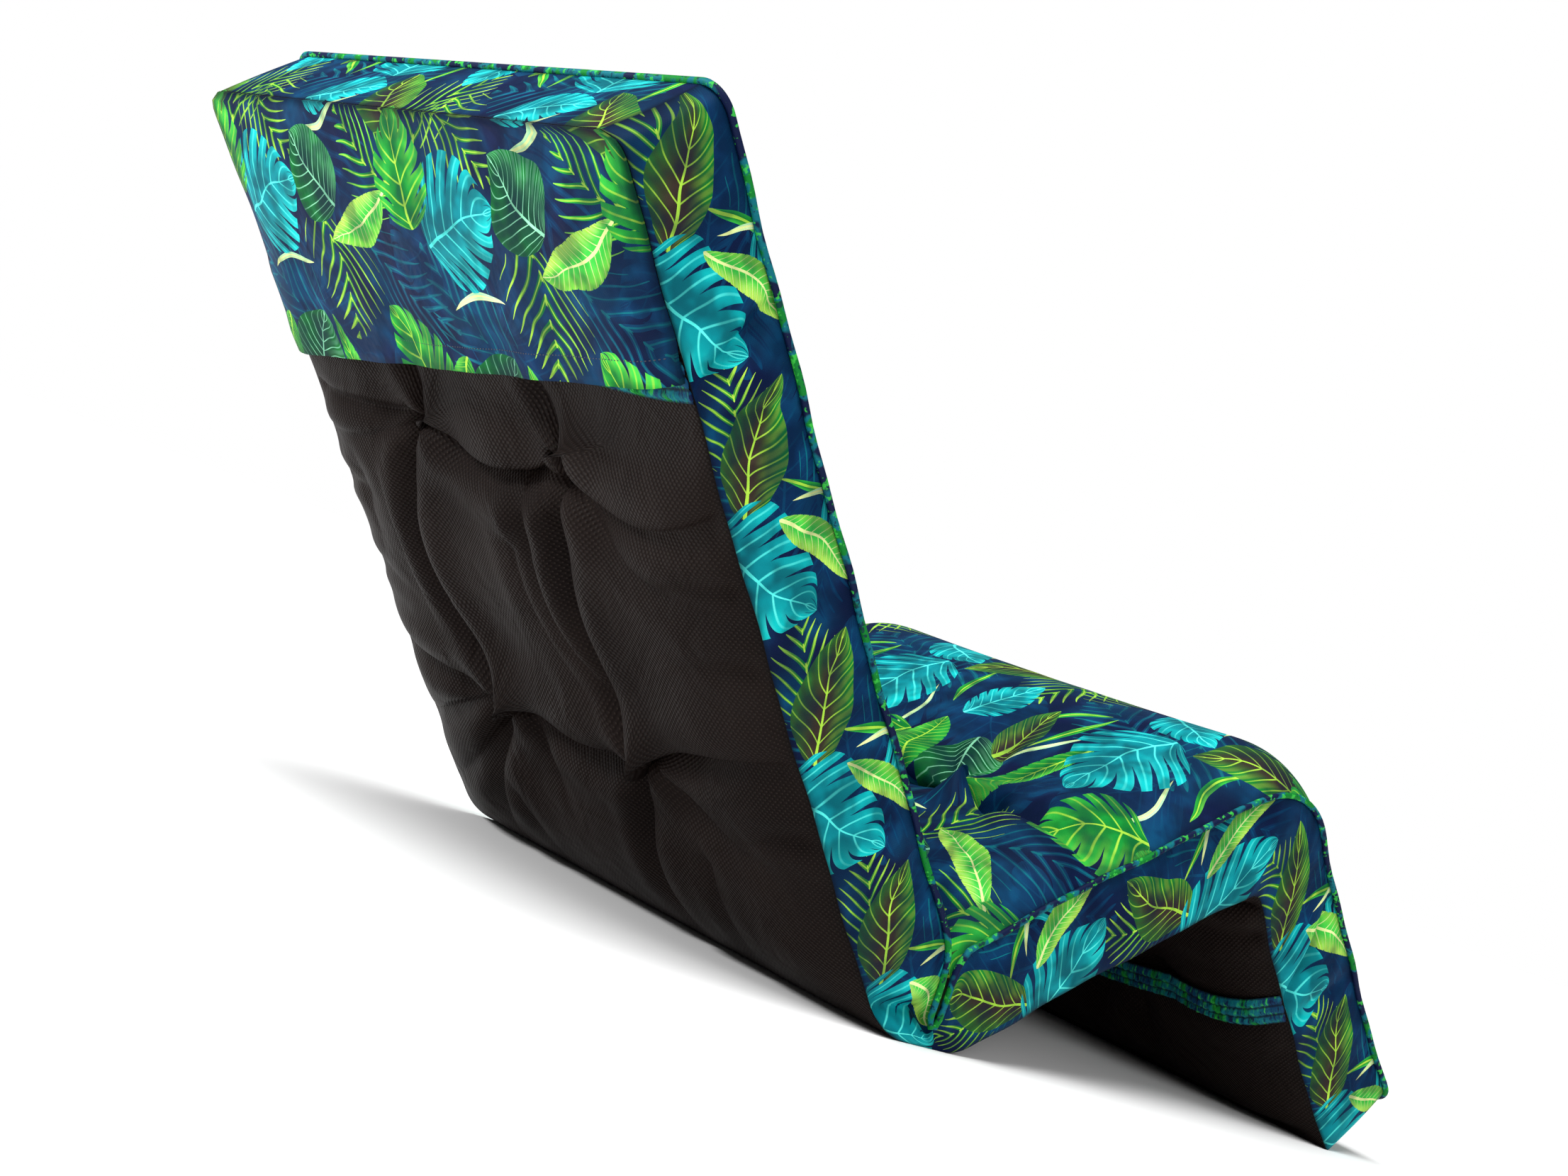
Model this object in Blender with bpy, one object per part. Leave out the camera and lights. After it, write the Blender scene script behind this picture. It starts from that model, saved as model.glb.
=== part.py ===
# Sun lounger cushion: a long boxed and tufted pad, bent at the fold and at the knee.
# It lies on its underside, on the flat of the fold and on the lower edge of the leg.
# Metres. X runs across the cushion, Y towards the foot, Z up. The origin is the
# middle of the flat under the fold.

import math

import bmesh
import bpy
from mathutils import Vector

# Driving dimensions
WIDTH = 0.600
BACK_LENGTH = 0.716         # rear seam, from the top to the corner under the fold
SEAT_LENGTH = 0.350         # underside, from the fold to the inside of the knee
LEG_LENGTH = 0.320          # underside, from the knee to the lower corner
THICKNESS = 0.083           # width of the side band
LEG_THICKNESS = 0.088
BACK_LEAN = 45.0            # degrees above the floor
SEAT_RISE = 35.0
LEG_DROP = 41.0
HEEL_BACK = -0.0515         # where the rear face would meet the floor
HEEL_SEAT = 0.0383          # where the seat's underside would meet it
HINGE_HEIGHT = 0.014        # cloth and filling left under the fold
GAP = 0.0003                # between pieces that touch

# Rounding of the bends
HEEL_RADIUS = 0.070
SEAT_RADIUS = 0.050
LIP_RADIUS = 0.030
KNEE_OUTER_RADIUS = 0.075
KNEE_INNER_RADIUS = 0.014
FOLD_HALF_WIDTH = 0.0045
FOLD_LIP_HALF_WIDTH = 0.0075

# Filling
CROWN = {"rear": 0.012, "front": 0.016}
CROWN_REACH = 0.075
SIDE_BULGE = 0.0035
DRAW_IN = 0.005
CORNER_RADIUS = 0.022
TUFT_COLUMNS = (-0.100, 0.100)
TUFT_RADIUS = 0.036
TUFT_SINK = {"rear": 0.018, "front": 0.020}
ROW_CREASE = 0.008
COLUMN_CREASE = 0.006
CREASE_WIDTH = 0.020

# Hood
HOOD_SIDE_DROP = {"near": 0.172, "far": 0.226}
HOOD_CELLS = (24, 9, 1)
HOOD_TOP_INSET = 0.0025     # below the top seam
HOOD_SIDE_INSET = 0.0005
HOOD_CLEAR = 0.0012         # between the panel's edges and the rear face
HOOD_STAND_OFF = 0.015      # of the open mouth, and how far down it is reached
HOOD_RISE = 0.080
CLOTH = 0.0025
HEM_CLOTH = 0.0040
HEM_WIDTH = 0.022
POCKET_CROWN = 0.10         # share of the crown left under the hood

# Elastic straps, each between the rear seams of the two sides
STRAP_WIDTH = 0.031
STRAP_RIDGE = 0.0005
STRAP_CELLS = (28, 9, 1)
STRAPS = {
    "leg_strap": {"thickness": 0.0055, "clear": 0.0034, "sag": 0.020, "stand_off": 0.027},
    "back_strap": {"thickness": 0.0036, "clear": 0.0010, "sag": 0.004, "stand_off": 0.0022},
}
LEG_STRAP_PLACE = 0.134     # from the knee, at the side seams
BACK_STRAP_PLACE = 0.178    # from the top, at the side seams
HOOD_OVER_STRAP = 0.0052    # how far the hood's side edges stand off there

PIPING_RADIUS = 0.0026
PIPING_CLEAR = 0.0008

# Each section of the cushion, top to foot, with its number of cells
SECTION_CELLS = {
    "top": 3,
    "back": 26,
    "back_end": 10,
    "seat_end": 9,
    "seat": 10,
    "knee": 8,
    "leg": 11,
    "foot": 3,
}
CELLS_ACROSS = 24
CELLS_THROUGH = 2

# Tuft rows: the section, and how far down it
TUFT_ROWS = (
    ("back", 0.381),
    ("back", 0.795),
    ("seat", 0.42),
    ("leg", 0.42),
)

TOP_LENGTH = 0.024
BACK_END_START = 0.100      # above the corner under the fold
SEAT_START = 0.060
KNEE_REACH = 0.030

COLOURS = {
    "cushion": ((0.030, 0.075, 0.110), 0.78),
    "hood": ((0.020, 0.110, 0.160), 0.75),
    "strap": ((0.015, 0.090, 0.110), 0.82),
    "piping": ((0.020, 0.130, 0.110), 0.75),
}


def clear_scene():
    for thing in list(bpy.data.objects):
        bpy.data.objects.remove(thing, do_unlink=True)


def cloth_material(name):
    colour, roughness = COLOURS[name]
    material = bpy.data.materials.new(name)
    material.use_nodes = True
    shader = material.node_tree.nodes["Principled BSDF"]
    shader.inputs["Base Color"].default_value = (*colour, 1.0)
    shader.inputs["Roughness"].default_value = roughness
    shader.inputs["Metallic"].default_value = 0.0
    return material


# The side view, as two rails of points in the Y-Z plane

def direction(degrees):
    angle = math.radians(degrees)
    return Vector((math.cos(angle), math.sin(angle)))


def meeting_point(start_a, along_a, start_b, along_b):
    across = along_a.x * along_b.y - along_a.y * along_b.x
    offset = start_b - start_a
    return start_a + along_a * ((offset.x * along_b.y - offset.y * along_b.x) / across)


def resample(points, count):
    lengths = [0.0]
    for first, second in zip(points, points[1:]):
        lengths.append(lengths[-1] + (second - first).length)
    result = []
    piece = 0
    for step in range(count + 1):
        target = lengths[-1] * step / count
        while piece < len(points) - 2 and lengths[piece + 1] < target:
            piece += 1
        span = lengths[piece + 1] - lengths[piece]
        result.append(points[piece].lerp(points[piece + 1], (target - lengths[piece]) / span))
    return result


def rounded_path(corners, radii, count):
    """A run of straight lines whose inner corners are arcs, in even steps."""
    points = [corners[0]]
    for before, corner, after, radius in zip(corners, corners[1:], corners[2:], radii):
        back = (before - corner).normalized()
        ahead = (after - corner).normalized()
        half_opening = math.acos(max(-1.0, min(1.0, back.dot(ahead)))) / 2
        setback = radius / math.tan(half_opening)
        centre = corner + (back + ahead).normalized() * (radius / math.sin(half_opening))
        start_arm = corner + back * setback - centre
        end_arm = corner + ahead * setback - centre
        for step in range(13):
            arm = start_arm.slerp(end_arm, step / 12).normalized() * radius
            points.append(centre + arm)
    points.append(corners[-1])
    return resample(points, count)


class Profile:
    """The rails of the rear seam and the front seam, and their middle length."""

    def __init__(self):
        back_up = direction(180.0 - BACK_LEAN)
        back_out = direction(90.0 - BACK_LEAN)
        seat_up = direction(SEAT_RISE)
        seat_out = direction(90.0 + SEAT_RISE)
        leg_down = direction(-LEG_DROP)
        leg_out = direction(90.0 - LEG_DROP)

        heel = Vector((0.0, 0.0))
        back_corner = Vector((HEEL_BACK, 0.0))
        seat_corner = Vector((HEEL_SEAT, 0.0))
        knee = seat_corner + seat_up * SEAT_LENGTH
        leg_end = knee + leg_down * LEG_LENGTH

        back_front = back_corner + back_out * THICKNESS
        seat_front = seat_corner + seat_out * THICKNESS
        leg_front = knee + leg_out * LEG_THICKNESS
        fold_top = meeting_point(back_front, back_up, seat_front, seat_up)
        knee_front = meeting_point(seat_front, seat_up, leg_front, leg_down)
        fold_bottom = Vector((0.0, HINGE_HEIGHT))
        fold_up = (fold_top - fold_bottom).normalized()
        fold_side = Vector((fold_up.y, -fold_up.x))
        back_wall = (fold_bottom - fold_side * FOLD_HALF_WIDTH, fold_top - fold_side * FOLD_LIP_HALF_WIDTH)
        seat_wall = (fold_bottom + fold_side * FOLD_HALF_WIDTH, fold_top + fold_side * FOLD_LIP_HALF_WIDTH)
        back_lip = meeting_point(back_front, back_up, back_wall[0], back_wall[1] - back_wall[0])
        seat_lip = meeting_point(seat_front, seat_up, seat_wall[0], seat_wall[1] - seat_wall[0])

        floor = Vector((1.0, 0.0))
        foot_start = meeting_point(knee, leg_down, heel, floor)
        foot_end = meeting_point(leg_end, leg_out, heel, floor)
        leg_front_end = leg_end + leg_out * LEG_THICKNESS
        knee_setback = KNEE_OUTER_RADIUS * math.tan(math.radians(SEAT_RISE + LEG_DROP) / 2)

        back_top = back_corner + back_up * BACK_LENGTH
        back_high = back_top - back_up * TOP_LENGTH
        back_low = back_corner + back_up * BACK_END_START
        seat_low = seat_corner + seat_up * SEAT_START
        seat_high = knee - seat_up * KNEE_REACH
        leg_high = knee + leg_down * KNEE_REACH
        knee_front_start = knee_front - seat_up * knee_setback
        knee_front_end = knee_front + leg_down * knee_setback
        foot_front = leg_front_end - leg_down * (foot_end - foot_start).length

        cells = SECTION_CELLS
        rear = {
            "top": rounded_path([back_top, back_high], [], cells["top"]),
            "back": rounded_path([back_high, back_low], [], cells["back"]),
            "back_end": rounded_path([back_low, back_corner, heel], [HEEL_RADIUS], cells["back_end"]),
            "seat_end": rounded_path([heel, seat_corner, seat_low], [SEAT_RADIUS], cells["seat_end"]),
            "seat": rounded_path([seat_low, seat_high], [], cells["seat"]),
            "knee": rounded_path([seat_high, knee, leg_high], [KNEE_INNER_RADIUS], cells["knee"]),
            "leg": rounded_path([leg_high, foot_start], [], cells["leg"]),
            "foot": rounded_path([foot_start, foot_end], [], cells["foot"]),
        }
        front = {
            "top": rounded_path([back_top + back_out * THICKNESS, back_high + back_out * THICKNESS],
                                [], cells["top"]),
            "back": rounded_path([back_high + back_out * THICKNESS, back_low + back_out * THICKNESS],
                                 [], cells["back"]),
            "back_end": rounded_path([back_low + back_out * THICKNESS, back_lip, back_wall[0], fold_bottom],
                                     [LIP_RADIUS, FOLD_HALF_WIDTH * 0.8], cells["back_end"]),
            "seat_end": rounded_path([fold_bottom, seat_wall[0], seat_lip, seat_low + seat_out * THICKNESS],
                                     [FOLD_HALF_WIDTH * 0.8, LIP_RADIUS], cells["seat_end"]),
            "seat": rounded_path([seat_low + seat_out * THICKNESS, knee_front_start], [], cells["seat"]),
            "knee": rounded_path([knee_front_start, knee_front, knee_front_end],
                                 [KNEE_OUTER_RADIUS * 0.999], cells["knee"]),
            "leg": rounded_path([knee_front_end, foot_front], [], cells["leg"]),
            "foot": rounded_path([foot_front, leg_front_end], [], cells["foot"]),
        }
        self.rear = self.joined(rear)
        self.front = self.joined(front)
        self.start = {}
        station = 0
        for name, count in cells.items():
            self.start[name] = station
            station += count
        self.stations = station
        self.length = [0.0]
        for index in range(station):
            step_rear = (self.rear[index + 1] - self.rear[index]).length
            step_front = (self.front[index + 1] - self.front[index]).length
            self.length.append(self.length[-1] + (step_rear + step_front) / 2)

    @staticmethod
    def joined(sections):
        points = []
        for name in SECTION_CELLS:
            points += sections[name] if not points else sections[name][1:]
        return points

    def at(self, values, station):
        index = max(0, min(self.stations - 1, int(station)))
        low, high = values[index], values[index + 1]
        return low + (high - low) * (station - index)

    def place(self, section, share):
        return self.start[section] + share * SECTION_CELLS[section]

    def outward(self, rail, station):
        step = 0.5
        ahead = self.at(rail, min(station + step, self.stations))
        behind = self.at(rail, max(station - step, 0.0))
        along = (ahead - behind).normalized()
        side = Vector((-along.y, along.x))
        return side if rail is self.front else -side

    def station_at(self, where):
        index = 0
        while index < self.stations - 1 and self.length[index + 1] < where:
            index += 1
        span = self.length[index + 1] - self.length[index]
        return index + (where - self.length[index]) / span

    def leg_station(self, from_knee):
        straight = (self.rear[self.start["foot"]] - self.rear[self.start["leg"]]).length
        return self.start["leg"] + (from_knee - KNEE_REACH) / straight * SECTION_CELLS["leg"]


# Shape of the filled faces

def smooth(value):
    value = max(0.0, min(1.0, value))
    return value * value * (3.0 - 2.0 * value)


def edge_rise(distance):
    rest = 1.0 - max(0.0, min(1.0, distance / CROWN_REACH))
    return 1.0 - rest * rest


def bump(distance, width):
    return math.exp(-(distance / width) ** 2)


class Filling:
    """How far each face stands off the flat between its seams."""

    def __init__(self, profile):
        self.profile = profile
        length = profile.length
        self.rows = [profile.at(length, profile.place(*row)) for row in TUFT_ROWS]
        self.fold = length[profile.start["seat_end"]]
        self.fold_start = length[profile.start["back_end"]]
        self.fold_end = length[profile.start["seat"]]
        self.knee = profile.at(length, profile.place("knee", 0.5))
        self.total = length[-1]
        self.hood_hem = max(HOOD_SIDE_DROP.values())

    def height(self, across, station, face):
        where = self.profile.at(self.profile.length, station)
        x = across * WIDTH / 2
        side = edge_rise(WIDTH / 2 - abs(x))
        if where < self.fold:
            ends = edge_rise(where) * smooth((self.fold - 0.030 - where) / 0.090)
        else:
            ends = smooth((where - self.fold - 0.045) / 0.070) * edge_rise(self.total - where)
        crown = CROWN[face] * side * ends
        if face == "rear":
            hooded = POCKET_CROWN + (1.0 - POCKET_CROWN) * smooth((where - self.hood_hem) / 0.050)
            crown *= hooded * (1.0 - bump(where - self.knee, 0.060))
            if where > self.total - 0.035:
                return 0.0
        sunk = 0.0
        for row in self.rows:
            along = where - row
            for column in TUFT_COLUMNS:
                distance = math.hypot(x - column, along)
                sunk += (CROWN[face] + TUFT_SINK[face]) * math.exp(-(distance / TUFT_RADIUS) ** 1.4)
            sunk += ROW_CREASE * bump(along, CREASE_WIDTH) * side
            for column in TUFT_COLUMNS:
                sunk += COLUMN_CREASE * bump(x - column, CREASE_WIDTH) * bump(along, 0.100)
        return crown - sunk * min(side, ends * 1.2 if where < self.fold_end else side)


def half_width(profile, station, through):
    """Half the cushion's width, drawn in between corners and rounded at them."""
    length = profile.length
    where = profile.at(length, station)
    fold = length[profile.start["seat_end"]]
    knee = profile.at(length, profile.place("knee", 0.5))
    marks = (0.0, fold, knee, length[-1])
    drawn = 0.0
    for low, high in zip(marks, marks[1:]):
        if low <= where <= high:
            drawn = DRAW_IN * math.sin(math.pi * (where - low) / (high - low))
    corner = 0.0
    for distance in (where, length[-1] - where):
        if distance < CORNER_RADIUS:
            inside = CORNER_RADIUS - distance
            corner = CORNER_RADIUS - math.sqrt(max(0.0, CORNER_RADIUS ** 2 - inside ** 2))
    return WIDTH / 2 - drawn - corner + SIDE_BULGE * math.sin(math.pi * through)


# Meshes

def lattice(cells):
    """A cube whose faces are cut into even cells along X, Y and Z."""
    mesh = bmesh.new()
    bmesh.ops.create_cube(mesh, size=1.0)
    for axis, count in enumerate(cells):
        edges = [edge for edge in mesh.edges
                 if abs((edge.verts[0].co - edge.verts[1].co)[axis]) > 0.5]
        if count > 1:
            bmesh.ops.subdivide_edges(mesh, edges=edges, cuts=count - 1, use_grid_fill=True)
    return mesh


def finish_mesh(mesh, name, material):
    bmesh.ops.recalc_face_normals(mesh, faces=mesh.faces)
    data = bpy.data.meshes.new(name)
    mesh.to_mesh(data)
    mesh.free()
    data.materials.append(cloth_material(material))
    data.shade_smooth()
    piece = bpy.data.objects.new(name, data)
    bpy.context.scene.collection.objects.link(piece)
    return piece


def cushion(profile, filling):
    mesh = lattice((CELLS_ACROSS, profile.stations, CELLS_THROUGH))
    for vertex in mesh.verts:
        across = 2.0 * vertex.co.x
        station = (vertex.co.y + 0.5) * profile.stations
        through = vertex.co.z + 0.5
        rear = profile.at(profile.rear, station)
        front = profile.at(profile.front, station)
        x = across * half_width(profile, station, through)
        point = rear.lerp(front, through)
        if through < 0.01:
            point = point + profile.outward(profile.rear, station) * filling.height(across, station, "rear")
        elif through > 0.99:
            point = point + profile.outward(profile.front, station) * filling.height(across, station, "front")
        vertex.co = (x, point.x, point.y)
    return finish_mesh(mesh, "cushion", "cushion")


def hood_panel(profile):
    """A sheet over the top of the rear face, standing off it as an open pocket."""
    mesh = lattice(HOOD_CELLS)
    for vertex in mesh.verts:
        across = 2.0 * vertex.co.x
        down = vertex.co.y + 0.5
        outer = vertex.co.z < 0.0
        drop = HOOD_SIDE_DROP["far"] + (HOOD_SIDE_DROP["near"] - HOOD_SIDE_DROP["far"]) * (across + 1) / 2
        from_top = HOOD_TOP_INSET + (drop - HOOD_TOP_INSET) * down
        station = profile.station_at(from_top)
        x = across * (half_width(profile, station, 0.0) - HOOD_SIDE_INSET)
        side = edge_rise(WIDTH / 2 * (1.0 - abs(across)))
        slope = smooth(from_top / HOOD_RISE)
        over_strap = HOOD_OVER_STRAP * smooth((from_top - BACK_STRAP_PLACE + STRAP_WIDTH) / HEM_WIDTH)
        lift = HOOD_CLEAR + over_strap + (HOOD_STAND_OFF - over_strap) * side * slope
        if outer:
            lift += HEM_CLOTH if from_top > drop - HEM_WIDTH else CLOTH
        point = profile.at(profile.rear, station) + profile.outward(profile.rear, station) * lift
        vertex.co = (x, point.x, point.y)
    return finish_mesh(mesh, "hood_panel", "hood")


def strap(name, profile, filling, station_of, place):
    """A flat ruched casing over elastic, with three ridges along it."""
    size = STRAPS[name]
    mesh = lattice(STRAP_CELLS)
    for vertex in mesh.verts:
        across = 2.0 * vertex.co.x
        wide = vertex.co.y
        face = -1.0 if vertex.co.z > 0.0 else 1.0
        middle = 1.0 - across * across
        station = station_of(place + size["sag"] * middle + STRAP_WIDTH * wide)
        x = across * (half_width(profile, station_of(place), 0.0) - 0.001)
        half = size["thickness"] / 2 * (1.0 - 0.55 * (2.0 * abs(wide)) ** 4)
        half += STRAP_RIDGE * math.cos(6.0 * math.pi * wide)
        surface = filling.height(across, station, "rear")
        lift = max(size["clear"] + surface, size["stand_off"] * middle)
        lift += size["thickness"] / 2 + half * face
        point = profile.at(profile.rear, station) + profile.outward(profile.rear, station) * lift
        vertex.co = (x, point.x, point.y)
    return finish_mesh(mesh, name, "strap")


def seam_point(profile, side, station, turn, end):
    """A point of the piping, which lies just outside the front edge."""
    reach = PIPING_RADIUS + PIPING_CLEAR
    fold_low = profile.place("back_end", 0.45)
    fold_high = profile.place("seat_end", 0.65)
    lift = 0.0 if fold_low < station < fold_high else math.sqrt(0.5)
    spread = reach * math.sqrt(1.0 - lift * lift)
    outward = profile.outward(profile.front, station)
    along = Vector((outward.y, -outward.x))
    x = side * (half_width(profile, station, 1.0) + spread * math.cos(turn))
    point = profile.at(profile.front, station) + outward * (reach * lift)
    point = point + along * (end * spread * math.sin(turn))
    return Vector((x, point.x, point.y))


def corner_points(profile, side, end):
    """The arc of the piping round one corner, from the side to the cross seam."""
    total = profile.length[-1]
    points = []
    for step in range(1, 6):
        turn = math.pi / 2 * step / 5
        where = CORNER_RADIUS * (1.0 - math.sin(turn))
        station = profile.station_at(where if end < 0 else total - where)
        points.append(seam_point(profile, side, station, turn, end))
    return points


def side_stations(profile):
    """Close steps round the bends and longer ones along the flats."""
    total = profile.length[-1]
    station = profile.station_at(CORNER_RADIUS)
    last = profile.station_at(total - CORNER_RADIUS)
    stations = []
    while station < last - 0.6:
        stations.append(station)
        flat = any(profile.start[name] <= station < profile.start[name] + SECTION_CELLS[name] - 2
                   for name in ("back", "seat", "leg"))
        station += 2.0 if flat else 1.0
    return stations + [last]


def piping_side(profile, side):
    top = corner_points(profile, side, -1)[::-1]
    run = [seam_point(profile, side, station, 0.0, 0) for station in side_stations(profile)]
    return top + run + corner_points(profile, side, 1)


def piping(profile):
    path = piping_side(profile, 1) + piping_side(profile, -1)[::-1]
    curve = bpy.data.curves.new("piping", "CURVE")
    curve.dimensions = "3D"
    curve.bevel_depth = PIPING_RADIUS
    curve.bevel_resolution = 1
    spline = curve.splines.new("POLY")
    spline.points.add(len(path) - 1)
    for point, place in zip(spline.points, path):
        point.co = (*place, 1.0)
    spline.use_cyclic_u = True
    curve.materials.append(cloth_material("piping"))
    piece = bpy.data.objects.new("piping", curve)
    bpy.context.scene.collection.objects.link(piece)
    return piece


def main():
    clear_scene()
    profile = Profile()
    filling = Filling(profile)
    cushion(profile, filling)
    hood_panel(profile)
    strap("leg_strap", profile, filling, profile.leg_station, LEG_STRAP_PLACE)
    strap("back_strap", profile, filling, profile.station_at, BACK_STRAP_PLACE)
    piping(profile)


main()
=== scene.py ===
import math
import random
from functools import partial

import bmesh
import bpy
import numpy as np
from mathutils import Matrix, Vector


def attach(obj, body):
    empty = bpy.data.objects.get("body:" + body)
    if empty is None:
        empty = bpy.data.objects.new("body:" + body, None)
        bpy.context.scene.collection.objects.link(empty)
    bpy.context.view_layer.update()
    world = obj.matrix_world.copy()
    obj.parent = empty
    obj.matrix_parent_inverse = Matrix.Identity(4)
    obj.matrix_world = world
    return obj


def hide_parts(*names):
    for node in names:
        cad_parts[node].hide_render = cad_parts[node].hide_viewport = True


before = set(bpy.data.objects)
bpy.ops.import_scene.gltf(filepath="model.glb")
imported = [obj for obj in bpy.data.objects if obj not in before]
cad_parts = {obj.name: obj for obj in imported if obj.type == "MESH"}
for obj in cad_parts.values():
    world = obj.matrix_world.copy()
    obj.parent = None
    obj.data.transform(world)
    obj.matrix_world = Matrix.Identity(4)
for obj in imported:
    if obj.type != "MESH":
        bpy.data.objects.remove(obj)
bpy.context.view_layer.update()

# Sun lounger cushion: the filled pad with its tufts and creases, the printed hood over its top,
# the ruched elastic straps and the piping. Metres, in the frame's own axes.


# The view of the photograph

photoView = {
    "width": 2212,          # pixels
    "focal": 3276.5,        # pixels
    "place": (1.5207, -1.3328, 0.2257),
    "yaw": 49.75,           # degrees, turned from +Y towards -X
    "pitch": 2.09,
    "roll": 21.06,
    "sensor": 36.0,         # mm
}


def makeCamera():
    yaw = math.radians(photoView["yaw"])
    pitch = math.radians(photoView["pitch"])
    roll = math.radians(photoView["roll"])
    ahead = Vector((-math.sin(yaw) * math.cos(pitch), math.cos(yaw) * math.cos(pitch), math.sin(pitch)))
    level = Vector((math.cos(yaw), math.sin(yaw), 0.0))
    upright = level.cross(ahead)
    right = level * math.cos(roll) + upright * math.sin(roll)
    up = upright * math.cos(roll) - level * math.sin(roll)
    data = bpy.data.cameras.new("photoCamera")
    data.sensor_fit = "HORIZONTAL"
    data.sensor_width = photoView["sensor"]
    data.lens = photoView["sensor"] * photoView["focal"] / photoView["width"]
    data.clip_end = 200.0
    camera = bpy.data.objects.new("photoCamera", data)
    turn = Matrix((right, up, -ahead)).transposed().to_4x4()
    camera.matrix_world = Matrix.Translation(photoView["place"]) @ turn
    bpy.context.scene.collection.objects.link(camera)
    bpy.context.scene.camera = camera


makeCamera()
print("camera ready")


# Side view of the cushion, as two rails in the Y-Z plane: the rear seam and the front seam

pad = {
    "width": 0.600,
    "backLength": 0.716,
    "seatLength": 0.350,
    "legLength": 0.320,
    "thickness": 0.083,
    "legThickness": 0.088,
    "backLean": 45.0,
    "seatRise": 35.0,
    "legDrop": 41.0,
    "heelBack": -0.0515,
    "heelSeat": 0.0383,
    "hingeHeight": 0.014,
    "heelRadius": 0.070,
    "seatRadius": 0.050,
    "lipRadius": 0.030,
    "kneeOuterRadius": 0.075,
    "kneeInnerRadius": 0.014,
    "foldHalfWidth": 0.0045,
    "foldLipHalfWidth": 0.0075,
    "foldTurn": 0.8,           # radius at the bottom of the fold, for each half width
    "cornerRadius": 0.022,
    "drawIn": 0.005,
    "sideBulge": 0.0035,
    "topLength": 0.024,
    "backEndStart": 0.100,
    "seatStart": 0.060,
    "kneeReach": 0.030,
    "cells": {
        "top": 5, "back": 42, "backEnd": 14, "seatEnd": 13,
        "seat": 20, "knee": 12, "leg": 21, "foot": 5,
    },
    "cellsAcross": 48,
    "cellsThrough": 6,
    "arcSteps": 24,
    "waver": 0.0013,           # how far the side seams wander in and out
    "waverInward": 0.6,
    "wavers": ((1.0, 38.0, 0.0, 0.5), (0.6, 87.0, 0.0, 2.0)),
}


def direction(degrees):
    angle = math.radians(degrees)
    return Vector((math.cos(angle), math.sin(angle)))


def meetingPoint(startA, alongA, startB, alongB):
    across = alongA.x * alongB.y - alongA.y * alongB.x
    offset = startB - startA
    return startA + alongA * ((offset.x * alongB.y - offset.y * alongB.x) / across)


def evenSteps(points, count):
    lengths = [0.0]
    for first, second in zip(points, points[1:]):
        lengths.append(lengths[-1] + (second - first).length)
    result = []
    piece = 0
    for step in range(count + 1):
        target = lengths[-1] * step / count
        while piece < len(points) - 2 and lengths[piece + 1] < target:
            piece += 1
        span = lengths[piece + 1] - lengths[piece]
        result.append(points[piece].lerp(points[piece + 1], (target - lengths[piece]) / span))
    return result


def roundedPath(corners, radii, count):
    points = [corners[0]]
    for before, corner, after, radius in zip(corners, corners[1:], corners[2:], radii):
        back = (before - corner).normalized()
        ahead = (after - corner).normalized()
        halfOpening = math.acos(max(-1.0, min(1.0, back.dot(ahead)))) / 2
        setback = radius / math.tan(halfOpening)
        centre = corner + (back + ahead).normalized() * (radius / math.sin(halfOpening))
        startArm = corner + back * setback - centre
        endArm = corner + ahead * setback - centre
        for step in range(pad["arcSteps"] + 1):
            arm = startArm.slerp(endArm, step / pad["arcSteps"]).normalized()
            points.append(centre + arm * radius)
    points.append(corners[-1])
    return evenSteps(points, count)


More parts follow.
